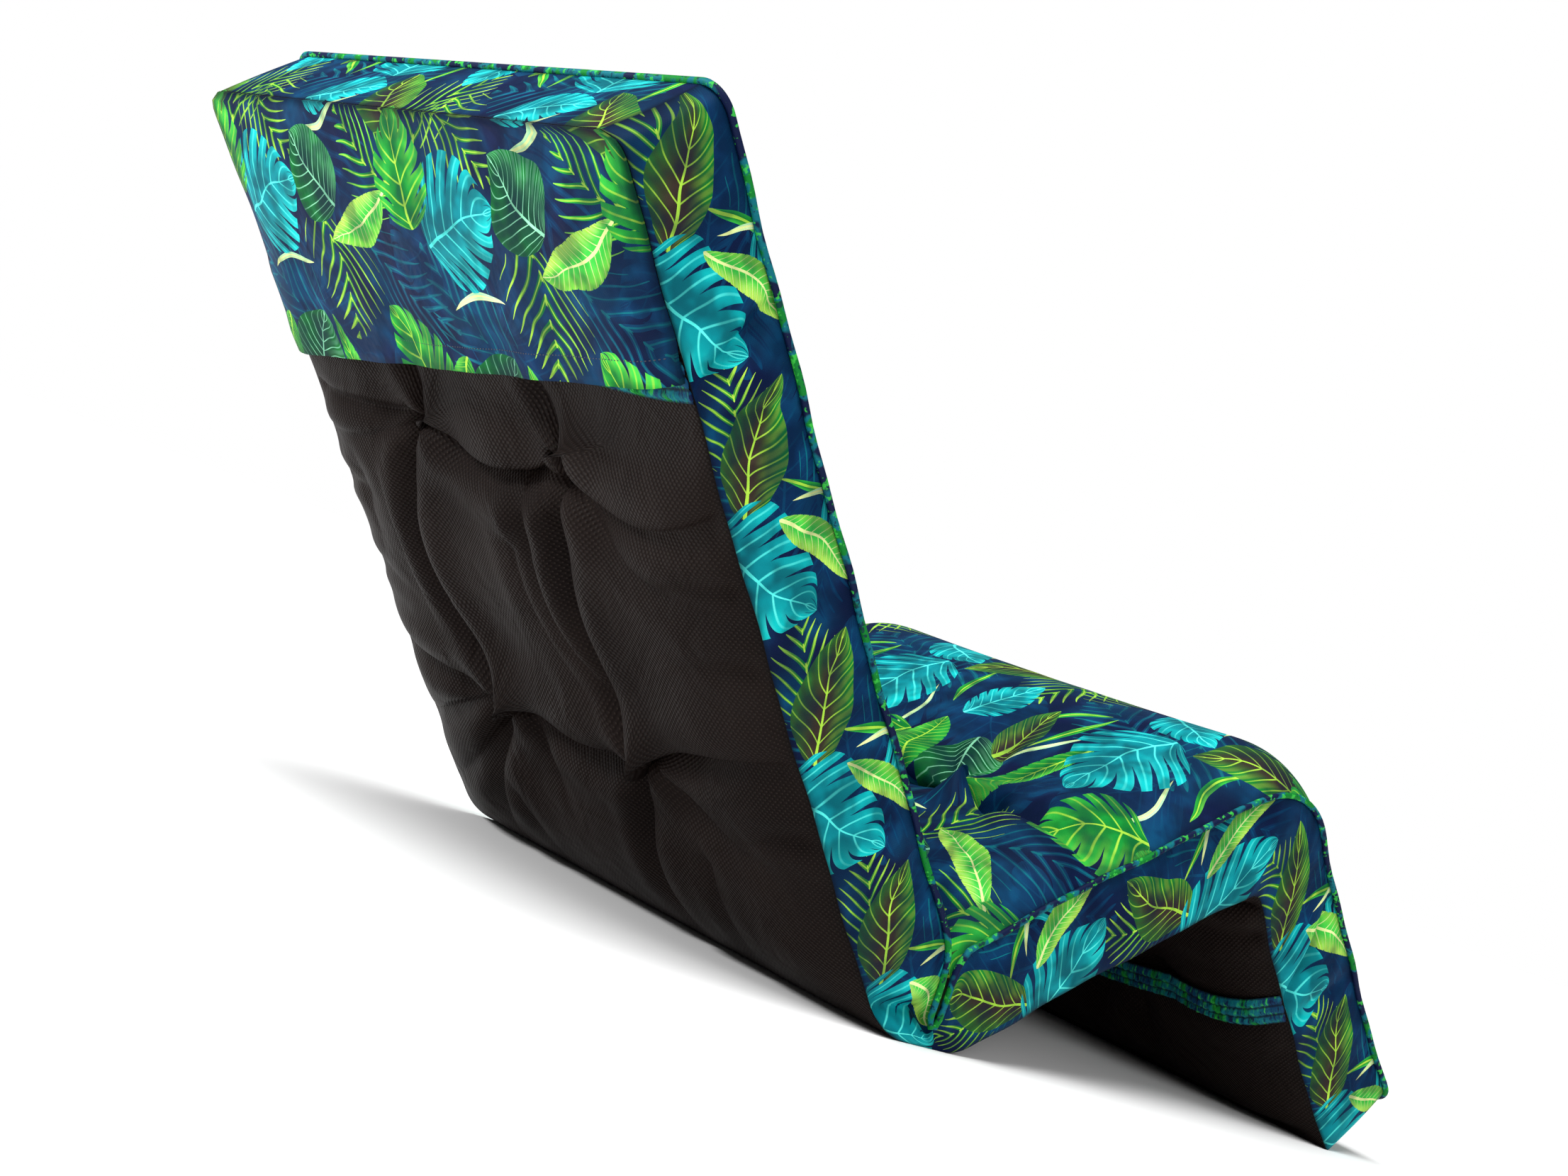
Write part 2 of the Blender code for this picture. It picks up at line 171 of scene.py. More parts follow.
class Profile:
    # the two rails, station by station from the top to the foot

    def __init__(self, cells):
        backUp = direction(180.0 - pad["backLean"])
        backOut = direction(90.0 - pad["backLean"]) * pad["thickness"]
        seatUp = direction(pad["seatRise"])
        seatOut = direction(90.0 + pad["seatRise"]) * pad["thickness"]
        legDown = direction(-pad["legDrop"])
        legOut = direction(90.0 - pad["legDrop"]) * pad["legThickness"]
        heel = Vector((0.0, 0.0))
        backCorner = Vector((pad["heelBack"], 0.0))
        seatCorner = Vector((pad["heelSeat"], 0.0))
        knee = seatCorner + seatUp * pad["seatLength"]
        legEnd = knee + legDown * pad["legLength"]
        foldTop = meetingPoint(backCorner + backOut, backUp, seatCorner + seatOut, seatUp)
        kneeFront = meetingPoint(seatCorner + seatOut, seatUp, knee + legOut, legDown)
        foldBottom = Vector((0.0, pad["hingeHeight"]))
        foldUp = (foldTop - foldBottom).normalized()
        foldSide = Vector((foldUp.y, -foldUp.x))
        narrow = foldSide * pad["foldHalfWidth"]
        wide = foldSide * pad["foldLipHalfWidth"]
        backWall = (foldBottom - narrow, foldTop - wide)
        seatWall = (foldBottom + narrow, foldTop + wide)
        backLip = meetingPoint(backCorner + backOut, backUp, backWall[0], backWall[1] - backWall[0])
        seatLip = meetingPoint(seatCorner + seatOut, seatUp, seatWall[0], seatWall[1] - seatWall[0])
        floor = Vector((1.0, 0.0))
        footStart = meetingPoint(knee, legDown, heel, floor)
        footEnd = meetingPoint(legEnd, legOut, heel, floor)
        footLength = (footEnd - footStart).length
        kneeTurn = math.radians(pad["seatRise"] + pad["legDrop"])
        kneeSetback = pad["kneeOuterRadius"] * math.tan(kneeTurn / 2)
        foldTurn = pad["foldHalfWidth"] * pad["foldTurn"]
        backTop = backCorner + backUp * pad["backLength"]
        backHigh = backTop - backUp * pad["topLength"]
        backLow = backCorner + backUp * pad["backEndStart"]
        seatLow = seatCorner + seatUp * pad["seatStart"]
        seatHigh = knee - seatUp * pad["kneeReach"]
        legHigh = knee + legDown * pad["kneeReach"]
        kneeStart = kneeFront - seatUp * kneeSetback
        kneeEnd = kneeFront + legDown * kneeSetback
        footFront = legEnd + legOut - legDown * footLength
        # each section: corners and radii of the rear rail, then those of the front rail. The knee's
        # outer arc is a hair tighter than its setback, so that it fits between the ends
        runs = {
            "top": ([backTop, backHigh], [], [backTop + backOut, backHigh + backOut], []),
            "back": ([backHigh, backLow], [], [backHigh + backOut, backLow + backOut], []),
            "backEnd": ([backLow, backCorner, heel], [pad["heelRadius"]],
                        [backLow + backOut, backLip, backWall[0], foldBottom], [pad["lipRadius"], foldTurn]),
            "seatEnd": ([heel, seatCorner, seatLow], [pad["seatRadius"]],
                        [foldBottom, seatWall[0], seatLip, seatLow + seatOut], [foldTurn, pad["lipRadius"]]),
            "seat": ([seatLow, seatHigh], [], [seatLow + seatOut, kneeStart], []),
            "knee": ([seatHigh, knee, legHigh], [pad["kneeInnerRadius"]],
                     [kneeStart, kneeFront, kneeEnd], [pad["kneeOuterRadius"] * 0.999]),
            "leg": ([legHigh, footStart], [], [kneeEnd, footFront], []),
            "foot": ([footStart, footEnd], [], [footFront, legEnd + legOut], []),
        }
        self.cells = cells
        self.rear = []
        self.front = []
        self.start = {}
        for name, count in cells.items():
            rearCorners, rearRadii, frontCorners, frontRadii = runs[name]
            skip = 1 if self.rear else 0
            self.start[name] = max(0, len(self.rear) - 1)
            self.rear += roundedPath(rearCorners, rearRadii, count)[skip:]
            self.front += roundedPath(frontCorners, frontRadii, count)[skip:]
        self.stations = len(self.rear) - 1
        self.rearLength = self.lengths(self.rear)
        self.frontLength = self.lengths(self.front)
        self.length = [(a + b) / 2 for a, b in zip(self.rearLength, self.frontLength)]

    def lengths(self, rail):
        total = [0.0]
        for first, second in zip(rail, rail[1:]):
            total.append(total[-1] + (second - first).length)
        return total

    def at(self, values, station):
        index = max(0, min(self.stations - 1, int(station)))
        return values[index] + (values[index + 1] - values[index]) * (station - index)

    def place(self, section, share):
        return self.start[section] + share * self.cells[section]

    def outward(self, rail, station):
        ahead = self.at(rail, min(station + 0.5, self.stations))
        behind = self.at(rail, max(station - 0.5, 0.0))
        along = (ahead - behind).normalized()
        side = Vector((-along.y, along.x))
        return side if rail is self.front else -side

    def stationAt(self, where):
        index = 0
        while index < self.stations - 1 and self.length[index + 1] < where:
            index += 1
        return index + (where - self.length[index]) / (self.length[index + 1] - self.length[index])

    def legStation(self, fromKnee):
        straight = (self.rear[self.start["foot"]] - self.rear[self.start["leg"]]).length
        return self.start["leg"] + (fromKnee - pad["kneeReach"]) / straight * self.cells["leg"]


profile = Profile(pad["cells"])


def smooth(value):
    value = max(0.0, min(1.0, value))
    return value * value * (3.0 - 2.0 * value)


def bump(distance, width):
    return math.exp(-(distance / width) ** 2)


def waves(rows, first, second=0.0):
    # rows of share, turn for each metre of the first and of the second measure, start
    return sum(share * math.sin(first * turn + second * slant + start)
               for share, turn, slant, start in rows)


def halfWidth(station, through):
    # drawn in between corners and rounded at them
    where = profile.at(profile.length, station)
    total = profile.length[-1]
    fold = profile.length[profile.start["seatEnd"]]
    knee = profile.at(profile.length, profile.place("knee", 0.5))
    drawn = 0.0
    for low, high in ((0.0, fold), (fold, knee), (knee, total)):
        if low <= where <= high:
            drawn = pad["drawIn"] * math.sin(math.pi * (where - low) / (high - low))
    corner = 0.0
    radius = pad["cornerRadius"]
    for distance in (where, total - where):
        if distance < radius:
            corner = radius - math.sqrt(max(0.0, radius ** 2 - (radius - distance) ** 2))
    waver = pad["waver"] * (waves(pad["wavers"], where) - pad["waverInward"])
    bulge = pad["sideBulge"] * math.sin(math.pi * through)
    return pad["width"] / 2 - drawn - corner + waver + bulge


# The filled pad: a fine lattice, blown up by a cloth simulation between its seams and tufts

filling = {
    "tuftColumns": (-0.096, 0.108),
    "tuftRows": (("back", 0.391), ("back", 0.828), ("seat", 0.42), ("leg", 0.42)),
    "startCrown": {"rear": 0.021, "front": 0.034},   # height of the faces before they swell
    "tuftSink": {"rear": 0.041, "front": 0.054},
    "tuftSinkLeast": 0.3,      # share of the sink that is left near the ends
    "tuftRadius": 0.046,
    "tuftPower": 1.3,
    "deepest": 0.036,         # below the seams, so that the two faces never meet
    "crownReach": 0.075,
    "endsBefore": (0.030, 0.090),    # the crown ends this far before the hip fold, over this length
    "startsAfter": (0.045, 0.070),   # and rises again after it
    "underHood": 0.1,         # share of the crown that the hood leaves
    "hoodFade": 0.050,
    "footFlat": 0.035,
    "seamCrease": 0.85,
    "pressure": 5.0,
    "spareCloth": 0.045,      # how much longer the cloth is than the shape that it starts from
    "frames": 22,
    "mostSwell": 0.022,
    "fill": 0.7,
}


def edgeRise(distance):
    rest = 1.0 - max(0.0, min(1.0, distance / filling["crownReach"]))
    return 1.0 - rest * rest


def tuftPlaces():
    return [(column, profile.at(profile.length, profile.place(*row)))
            for row in filling["tuftRows"] for column in filling["tuftColumns"]]


tufts = tuftPlaces()
foldPlace = profile.length[profile.start["seatEnd"]]
hoodReach = 0.226                 # lowest place of the hood's hem


def startHeight(across, station, face):
    where = profile.at(profile.length, station)
    x = across * pad["width"] / 2
    side = edgeRise(pad["width"] / 2 - abs(x))
    total = profile.length[-1]
    if where < foldPlace:
        gap, length = filling["endsBefore"]
        ends = edgeRise(where) * smooth((foldPlace - gap - where) / length)
    else:
        gap, length = filling["startsAfter"]
        ends = smooth((where - foldPlace - gap) / length) * edgeRise(total - where)
    crown = filling["startCrown"][face] * side * ends
    if face == "rear":
        least = filling["underHood"]
        crown *= least + (1.0 - least) * smooth((where - hoodReach) / filling["hoodFade"])
        if where > total - filling["footFlat"]:
            return 0.0
    sunk = 0.0
    for column, row in tufts:
        distance = math.hypot(x - column, where - row) / filling["tuftRadius"]
        sunk += filling["tuftSink"][face] * math.exp(-distance ** filling["tuftPower"])
    return crown - sunk * min(side, max(ends, filling["tuftSinkLeast"]))


def latticeBlock(cells):
    # a unit cube divided evenly along each axis
    mesh = bmesh.new()
    bmesh.ops.create_cube(mesh, size=1.0)
    for axis, count in enumerate(cells):
        edges = [edge for edge in mesh.edges
                 if abs((edge.verts[0].co - edge.verts[1].co)[axis]) > 0.5]
        if count > 1:
            bmesh.ops.subdivide_edges(mesh, edges=edges, cuts=count - 1, use_grid_fill=True)
    return mesh


def newPiece(name, mesh, materials):
    data = bpy.data.meshes.new(name)
    mesh.to_mesh(data)
    mesh.free()
    for material in materials:
        data.materials.append(material)
    data.shade_smooth()
    piece = bpy.data.objects.new(name, data)
    bpy.context.scene.collection.objects.link(piece)
    return piece


def makePad(materials):
    cells = (pad["cellsAcross"], profile.stations, pad["cellsThrough"])
    mesh = latticeBlock(cells)
    mesh.normal_update()
    cloth = mesh.loops.layers.uv.new("cloth")
    placeLayer = mesh.verts.layers.float_vector.new("place")
    crease = mesh.edges.layers.float.new("crease_edge")
    slots = {"rear": 0, "front": 1, "side": 2, "end": 3}
    for face in mesh.faces:
        normal = face.normal
        if abs(normal.z) > 0.5:
            kind = "front" if normal.z > 0 else "rear"
        else:
            kind = "side" if abs(normal.x) > 0.5 else "end"
        face.material_index = slots[kind]
        for loop in face.loops:
            x = loop.vert.co.x * pad["width"]
            station = (loop.vert.co.y + 0.5) * profile.stations
            through = (loop.vert.co.z + 0.5) * pad["thickness"]
            if kind in ("rear", "front"):
                rail = profile.rearLength if kind == "rear" else profile.frontLength
                loop[cloth].uv = (x, -profile.at(rail, station))
            elif kind == "side":
                loop[cloth].uv = (through, -profile.at(profile.length, station))
            else:
                loop[cloth].uv = (x, through)
    for edge in mesh.edges:
        kinds = {face.material_index for face in edge.link_faces}
        if len(kinds) > 1:
            edge[crease] = filling["seamCrease"]
    places = []
    for vertex in mesh.verts:
        across = 2.0 * vertex.co.x
        station = (vertex.co.y + 0.5) * profile.stations
        through = vertex.co.z + 0.5
        places.append((across, station, through))
        vertex[placeLayer] = (across, station, through)
        point = profile.at(profile.rear, station).lerp(profile.at(profile.front, station), through)
        rail, name = (profile.rear, "rear") if through < 0.5 else (profile.front, "front")
        if through < 0.01 or through > 0.99:
            point = point + profile.outward(rail, station) * startHeight(across, station, name)
        vertex.co = (across * halfWidth(station, through), point.x, point.y)
    bmesh.ops.recalc_face_normals(mesh, faces=mesh.faces)
    return newPiece("padCover", mesh, materials), places


# How firmly the cloth is held while it swells: seams and tufts wholly, the ends and folds softly
pins = {
    "tuft": 0.009,
    "tuftReach": 1.6,          # in sizes of the tuft
    "frontFold": 0.105,        # how far from the hip fold each face is held
    "rearFold": 0.050,
    "foot": 0.045,
    "fade": 0.02,
    "underHood": 0.35,
    "hoodFade": 0.03,
}


def pinWeight(place):
    across, station, through = place
    onRear = through < 0.01
    onFace = onRear or through > 0.99
    onSide = abs(across) > 0.999
    onEnd = station < 0.01 or station > profile.stations - 0.01
    if onFace + onSide + onEnd > 1:
        return 1.0
    where = profile.at(profile.length, station)
    weight = 0.0
    if onFace:
        x = across * pad["width"] / 2
        for column, row in tufts:
            distance = math.hypot(x - column, where - row)
            weight = max(weight, smooth(pins["tuftReach"] - distance / pins["tuft"]))
    foldHeld = pins["frontFold"] if through > 0.5 else pins["rearFold"]
    weight = max(weight, smooth((foldHeld - abs(where - foldPlace)) / pins["fade"]))
    if onRear:
        fromFoot = profile.length[-1] - where
        weight = max(weight, smooth((pins["foot"] - fromFoot) / pins["fade"]))
        weight = max(weight, pins["underHood"] * smooth((hoodReach - where) / pins["hoodFade"]))
    return weight


def swellPad(piece, places):
    # the cloth is a little longer than the form, so that it creases round the tufts
    held = piece.vertex_groups.new(name="held")
    spare = piece.vertex_groups.new(name="spare")
    for index, place in enumerate(places):
        weight = pinWeight(place)
        if weight > 0.0:
            held.add([index], weight, "REPLACE")
        if (place[2] < 0.01 or place[2] > 0.99) and abs(place[0]) < 0.999:
            spare.add([index], 1.0, "REPLACE")
    before = [vertex.co.copy() for vertex in piece.data.vertices]
    modifier = piece.modifiers.new("swell", "CLOTH")
    settings = modifier.settings
    settings.quality = 6
    settings.mass = 0.25
    settings.tension_stiffness = 20.0
    settings.compression_stiffness = 18.0
    settings.shear_stiffness = 6.0
    settings.bending_stiffness = 0.35
    settings.tension_damping = 5.0
    settings.compression_damping = 5.0
    settings.air_damping = 2.0
    settings.use_pressure = True
    settings.uniform_pressure_force = filling["pressure"]
    settings.vertex_group_mass = "held"
    settings.pin_stiffness = 2.0
    settings.vertex_group_shrink = "spare"
    settings.shrink_min = 0.0
    settings.shrink_max = -filling["spareCloth"]
    settings.effector_weights.gravity = 0.0
    modifier.collision_settings.use_collision = False
    modifier.point_cache.frame_start = 1
    modifier.point_cache.frame_end = filling["frames"]
    scene = bpy.context.scene
    for number in range(1, filling["frames"] + 1):
        scene.frame_set(number)
    blown = piece.evaluated_get(bpy.context.evaluated_depsgraph_get()).to_mesh()
    after = [vertex.co.copy() for vertex in blown.vertices]
    piece.modifiers.remove(modifier)
    scene.frame_set(1)
    for vertex, start, end in zip(piece.data.vertices, before, after):
        move = end - start
        if move.length > filling["mostSwell"]:
            move = move.normalized() * filling["mostSwell"]
        vertex.co = start + move
        vertex.co.z = max(0.0, vertex.co.z)


# The hood: a printed sheet over the top of the back, sewn into its seams and open at the hem

hood = {
    "sideDrop": {"near": 0.172, "far": hoodReach},
    "standOff": 0.0150,
    "rise": 0.080,
    "clear": 0.0007,
    "pastSeam": 0.0006,
    "cloth": 0.0020,
    "hemCloth": 0.0034,
    "hemWidth": 0.022,
    "hemStep": (0.002, 0.003),  # where the thicker hem starts above its width, and over how far
    "overStrap": 0.0058,       # room for the back strap under the hood
    "overStrapAtEdge": 0.40,
    "overStrapFrom": 0.034,
    "overStrapFade": 0.020,
    "strapPlace": 0.173,
    "ripple": 0.0011,
    "ripples": ((1.0, 47.0, 0.0, 1.3), (0.6, 83.0, 20.0, 0.0), (0.5, 23.0, 0.0, 0.4)),
    "roll": 0.0009,
    "rollTurns": (95.0, 9.0),
    "cells": (84, 30, 1),
    # reach of the painted shade along the hood's seams
    "seamShade": 0.0040,
    "stitchLine": 0.0195,      # above the hem
    "stitchDent": (0.0007, 0.0014),
    "stitchLength": 0.0026,
    "stitchPitch": 0.0038,
    "stitchRadius": 0.00055,
    "stitchInset": 0.012,
}


def hoodDrop(across):
    near, far = hood["sideDrop"]["near"], hood["sideDrop"]["far"]
    return far + (near - far) * (across + 1) / 2


edgeFade = 0.030


def fromSides(across):
    return pad["width"] / 2 * (1.0 - abs(across))


def thinned(across, least):
    # a share that falls to the least one at the side seams
    return least + (1.0 - least) * smooth(fromSides(across) / edgeFade)


def hoodLift(across, fromTop):
    # height of the inside of the cloth over the pad's rear seams
    side = edgeRise(fromSides(across))
    slope = smooth(fromTop / hood["rise"])
    belowStrap = fromTop - hood["strapPlace"] + hood["overStrapFrom"]
    overStrap = hood["overStrap"] * thinned(across, hood["overStrapAtEdge"])
    overStrap *= smooth(belowStrap / hood["overStrapFade"])
    lift = hood["clear"] + overStrap + (hood["standOff"] - overStrap) * side * slope
    x = across * pad["width"] / 2
    ripple = waves(hood["ripples"], x, fromTop)
    lift += hood["ripple"] * side * smooth(fromTop / hoodDrop(across)) * ripple
    down, sideways = hood["rollTurns"]
    return lift + hood["roll"] * side * slope * math.sin(fromTop * down + x * sideways)


def hoodPoint(across, fromTop, layer):
    # layer 0 is the inside of the cloth and 1 the outside
    station = profile.stationAt(max(0.0, fromTop))
    x = across * (halfWidth(station, 0.0) + hood["pastSeam"])
    above = hoodDrop(across) - fromTop
    start, length = hood["hemStep"]
    hem = smooth((hood["hemWidth"] + start - above) / length)
    cloth = hood["cloth"] + (hood["hemCloth"] - hood["cloth"]) * hem
    dent, dentWidth = hood["stitchDent"]
    cloth -= dent * bump(above - hood["stitchLine"], dentWidth)
    lift = hoodLift(across, fromTop) + cloth * layer
    point = profile.at(profile.rear, station) + profile.outward(profile.rear, station) * lift
    return Vector((x, point.x, point.y))


# The ruched elastic straps between the rear seams

straps = {
    # the leg strap's place is down from the knee, and the back strap's is down from the top
    "leg_strap": {"thickness": 0.0055, "clear": 0.0034, "sag": 0.020, "standOff": 0.027, "place": 0.134},
    "back_strap": {
        "thickness": 0.0036, "clear": 0.0010, "sag": 0.004, "standOff": 0.0022,
        "place": hood["strapPlace"],
    },
    "width": 0.031,
    "cells": (300, 20, 1),
    "shortOfSeam": 0.0005,
    "clearAtEdge": 0.4,
    "thinAtEdge": 0.35,
    "flatEdge": 0.75,          # share of the thickness that the long edges lose
    "ridges": 3,
    "ridge": 0.0013,
    "outer": 0.46,             # beyond this share of the width the ridges are lower
    "outerRidge": 0.4,
    "gather": 0.0010,
    "pitch": 0.0058,
    "gatherDrift": (5.0, 60.0),
    "secondGather": (0.5, 1.63),
    "gathering": 1.5,          # length of the flat casing for each length of strap
}


def strapLift(name, across, station):
    # height of the strap's inside over the pad's rear seams
    size = straps[name]
    inside = size["clear"] * thinned(across, straps["clearAtEdge"])
    inside += max(0.0, startHeight(across, station, "rear"))
    return max(inside, size["standOff"] * (1.0 - across * across))


def strapMiddle(name, across):
    size = straps[name]
    return size["place"] + size["sag"] * (1.0 - across * across)


pressed = {
    "beside": 0.003,           # how far past the edge of the hood or a strap the pad is pressed
    "hoodGap": 0.0008,
    "strapGap": 0.0010,
    "reach": 0.030,
    "slope": 0.9,
    "free": 1.0,
}


def roomUnder(across, station, where):
    # how high the pad may stand under the hood and the straps, which press it flat
    room = np.full(len(across), pressed["free"])
    legStart = profile.at(profile.length, profile.legStation(0.0))
    legStep = 0.1
    legScale = profile.at(profile.length, profile.legStation(legStep)) - legStart
    for index in range(len(across)):
        if where[index] < hoodDrop(across[index]) + pressed["beside"]:
            room[index] = hoodLift(across[index], where[index]) - pressed["hoodGap"]
        for name in ("back_strap", "leg_strap"):
            middle = strapMiddle(name, across[index])
            if name == "leg_strap":
                middle = legStart + legScale * middle / legStep
            beyond = abs(where[index] - middle) - straps["width"] / 2 - pressed["beside"]
            if beyond < pressed["reach"]:
                inside = strapLift(name, across[index], station[index]) - pressed["strapGap"]
                room[index] = min(room[index], inside + max(0.0, beyond) * pressed["slope"])
    return room


# Folds in the cloth. Each one runs from a start to an end, in metres across and down from the top,
# bows sideways between them, and is a trough with a soft shoulder on both sides. The lean makes
# one side steeper, as where a full lobe hangs over the next.

folds = {
    "rear": (
        # start, end, bow, depth, width, lean, and the share of the depth that is left at the end
        ((-0.096, 0.258), (-0.096, 0.512), 0.050, 0.0160, 0.0140, 0.55, 1.00),
        ((0.108, 0.258), (0.108, 0.512), 0.016, 0.0160, 0.0140, 0.55, 1.00),
        ((-0.096, 0.258), (0.108, 0.258), 0.020, 0.0210, 0.0160, 0.65, 1.00),
        ((0.108, 0.258), (0.296, 0.272), 0.026, 0.0165, 0.0140, 0.60, 0.35),
        ((-0.096, 0.258), (-0.296, 0.258), 0.002, 0.0150, 0.0120, -0.55, 0.35),
        ((-0.096, 0.258), (-0.292, 0.292), -0.010, 0.0100, 0.0110, -0.40, 0.15),
        ((-0.096, 0.512), (0.108, 0.512), 0.018, 0.0210, 0.0160, 0.65, 1.00),
        ((0.108, 0.512), (0.296, 0.476), -0.008, 0.0165, 0.0140, 0.60, 0.35),
        ((0.108, 0.512), (0.262, 0.572), 0.014, 0.0120, 0.0130, 0.45, 0.10),
        ((-0.096, 0.512), (-0.296, 0.500), -0.006, 0.0150, 0.0120, -0.55, 0.35),
        ((-0.096, 0.512), (-0.292, 0.590), 0.002, 0.0120, 0.0120, -0.45, 0.20),
        ((-0.096, 0.512), (-0.270, 0.650), -0.010, 0.0100, 0.0120, -0.35, 0.15),
        ((-0.096, 0.512), (-0.190, 0.690), 0.010, 0.0150, 0.0140, 0.50, 0.15),
        ((-0.096, 0.512), (-0.048, 0.610), -0.004, 0.0080, 0.0100, -0.30, 0.10),
        ((0.108, 0.512), (0.092, 0.700), 0.022, 0.0160, 0.0140, 0.55, 0.25),
        ((0.108, 0.258), (0.285, 0.352), 0.028, 0.0110, 0.0130, 0.40, 0.15),
        ((-0.126, 0.205), (-0.096, 0.258), -0.008, 0.0100, 0.0110, 0.30, 1.00),
        ((0.082, 0.205), (0.108, 0.258), -0.008, 0.0100, 0.0110, 0.30, 1.00),
        ((0.040, 0.320), (0.100, 0.494), 0.022, 0.0090, 0.0120, 0.40, 0.60),
        ((0.010, 0.350), (0.046, 0.470), 0.012, 0.0055, 0.0110, 0.30, 0.40),
        ((-0.128, 0.330), (-0.092, 0.490), 0.024, 0.0045, 0.0090, 0.20, 0.60),
        ((-0.096, 0.258), (-0.170, 0.380), 0.014, 0.0050, 0.0110, 0.25, 0.05),
        ((-0.225, 0.325), (-0.245, 0.415), -0.004, 0.0030, 0.0110, 0.25, 0.20),
        ((-0.135, 0.630), (-0.100, 0.720), 0.000, 0.0035, 0.0110, 0.25, 0.20),
        ((0.160, 0.600), (0.180, 0.700), 0.006, 0.0040, 0.0110, 0.25, 0.20),
        ((0.296, 0.335), (0.190, 0.345), 0.008, 0.0050, 0.0080, 0.20, 0.05),
        ((0.296, 0.400), (0.200, 0.405), 0.006, 0.0045, 0.0080, 0.20, 0.05),
        ((0.296, 0.545), (0.215, 0.560), 0.008, 0.0050, 0.0080, 0.20, 0.05),
        ((-0.296, 0.345), (-0.200, 0.352), -0.008, 0.0050, 0.0080, 0.20, 0.05),
        ((-0.296, 0.430), (-0.205, 0.438), -0.008, 0.0045, 0.0080, 0.20, 0.05),
        # the creases under the leg strap
        ((0.292, 1.205), (0.205, 1.225), 0.010, 0.0080, 0.0090, 0.20, 0.10),
        ((0.292, 1.245), (0.215, 1.228), -0.008, 0.0060, 0.0090, 0.20, 0.10),
    ),
    "front": (),               # all of its folds are fans, from the spokes below
}
foldForm = {
    "depth": 1.2,              # scale of all depths above
    "power": 1.2,
    "shoulder": 0.35,
    "shoulderPlace": 2.2,      # in widths of the fold, as are the next two
    "shoulderWidth": 1.3,
    "leanPlace": 1.3,
    "overhang": 1.20,          # how far a lobe leans over, for each depth of its fold
    "steps": 12,
    "margin": 0.09,
}
spokes = {
    "seed": 7,
    "count": 8,
    "jitter": 0.25,
    "reach": (0.055, 0.125),
    "depth": (0.0060, 0.0120),
    "width": (0.0085, 0.0125),
    "bow": 0.012,
    "lean": 0.4,
    "left": 0.05,
    "deeper": {"rear": 1.0, "front": 1.35},
    # along the row of tufts, and from a tuft to the side seam
    "link": {"drift": 0.004, "bow": (-0.016, -0.008), "depth": 0.0115, "width": 0.0130, "lean": -0.5},
    "side": {
        "end": 0.288, "drift": 0.012, "bow": 0.012, "depth": 0.0100, "width": 0.0130,
        "lean": 0.5, "left": 0.4,
    },
}


def spokeFolds(face):
    # fans of folds round the tufts that the table leaves out, with folds along their rows
    draw = random.Random(spokes["seed"] + len(face))
    deeper = spokes["deeper"][face]
    rowFold = spokes["link"]
    sideFold = spokes["side"]
    rows = []
    for column, row in tufts:
        onBack = row < foldPlace
        if face == "rear" and onBack:
            continue
        turn = draw.uniform(0.0, 1.0)
        for number in range(spokes["count"]):
            jitter = draw.uniform(-spokes["jitter"], spokes["jitter"])
            angle = 2.0 * math.pi * (number + turn + jitter) / spokes["count"]
            reach = draw.uniform(*spokes["reach"])
            end = (column + reach * math.cos(angle), row + reach * math.sin(angle))
            rows.append(((column, row), end, draw.uniform(-1, 1) * spokes["bow"],
                         deeper * draw.uniform(*spokes["depth"]), draw.uniform(*spokes["width"]),
                         draw.uniform(-spokes["lean"], spokes["lean"]), spokes["left"]))
        if column < 0:
            end = (-column, row + draw.uniform(-rowFold["drift"], rowFold["drift"]))
            rows.append(((column, row), end, draw.uniform(*rowFold["bow"]),
                         rowFold["depth"] * deeper, rowFold["width"], rowFold["lean"], 1.0))
        side = math.copysign(sideFold["end"], column)
        end = (side, row + draw.uniform(-sideFold["drift"], sideFold["drift"]))
        rows.append(((column, row), end, draw.uniform(-sideFold["bow"], sideFold["bow"]),
                     sideFold["depth"] * deeper, sideFold["width"],
                     draw.uniform(-sideFold["lean"], sideFold["lean"]), sideFold["left"]))
    return rows


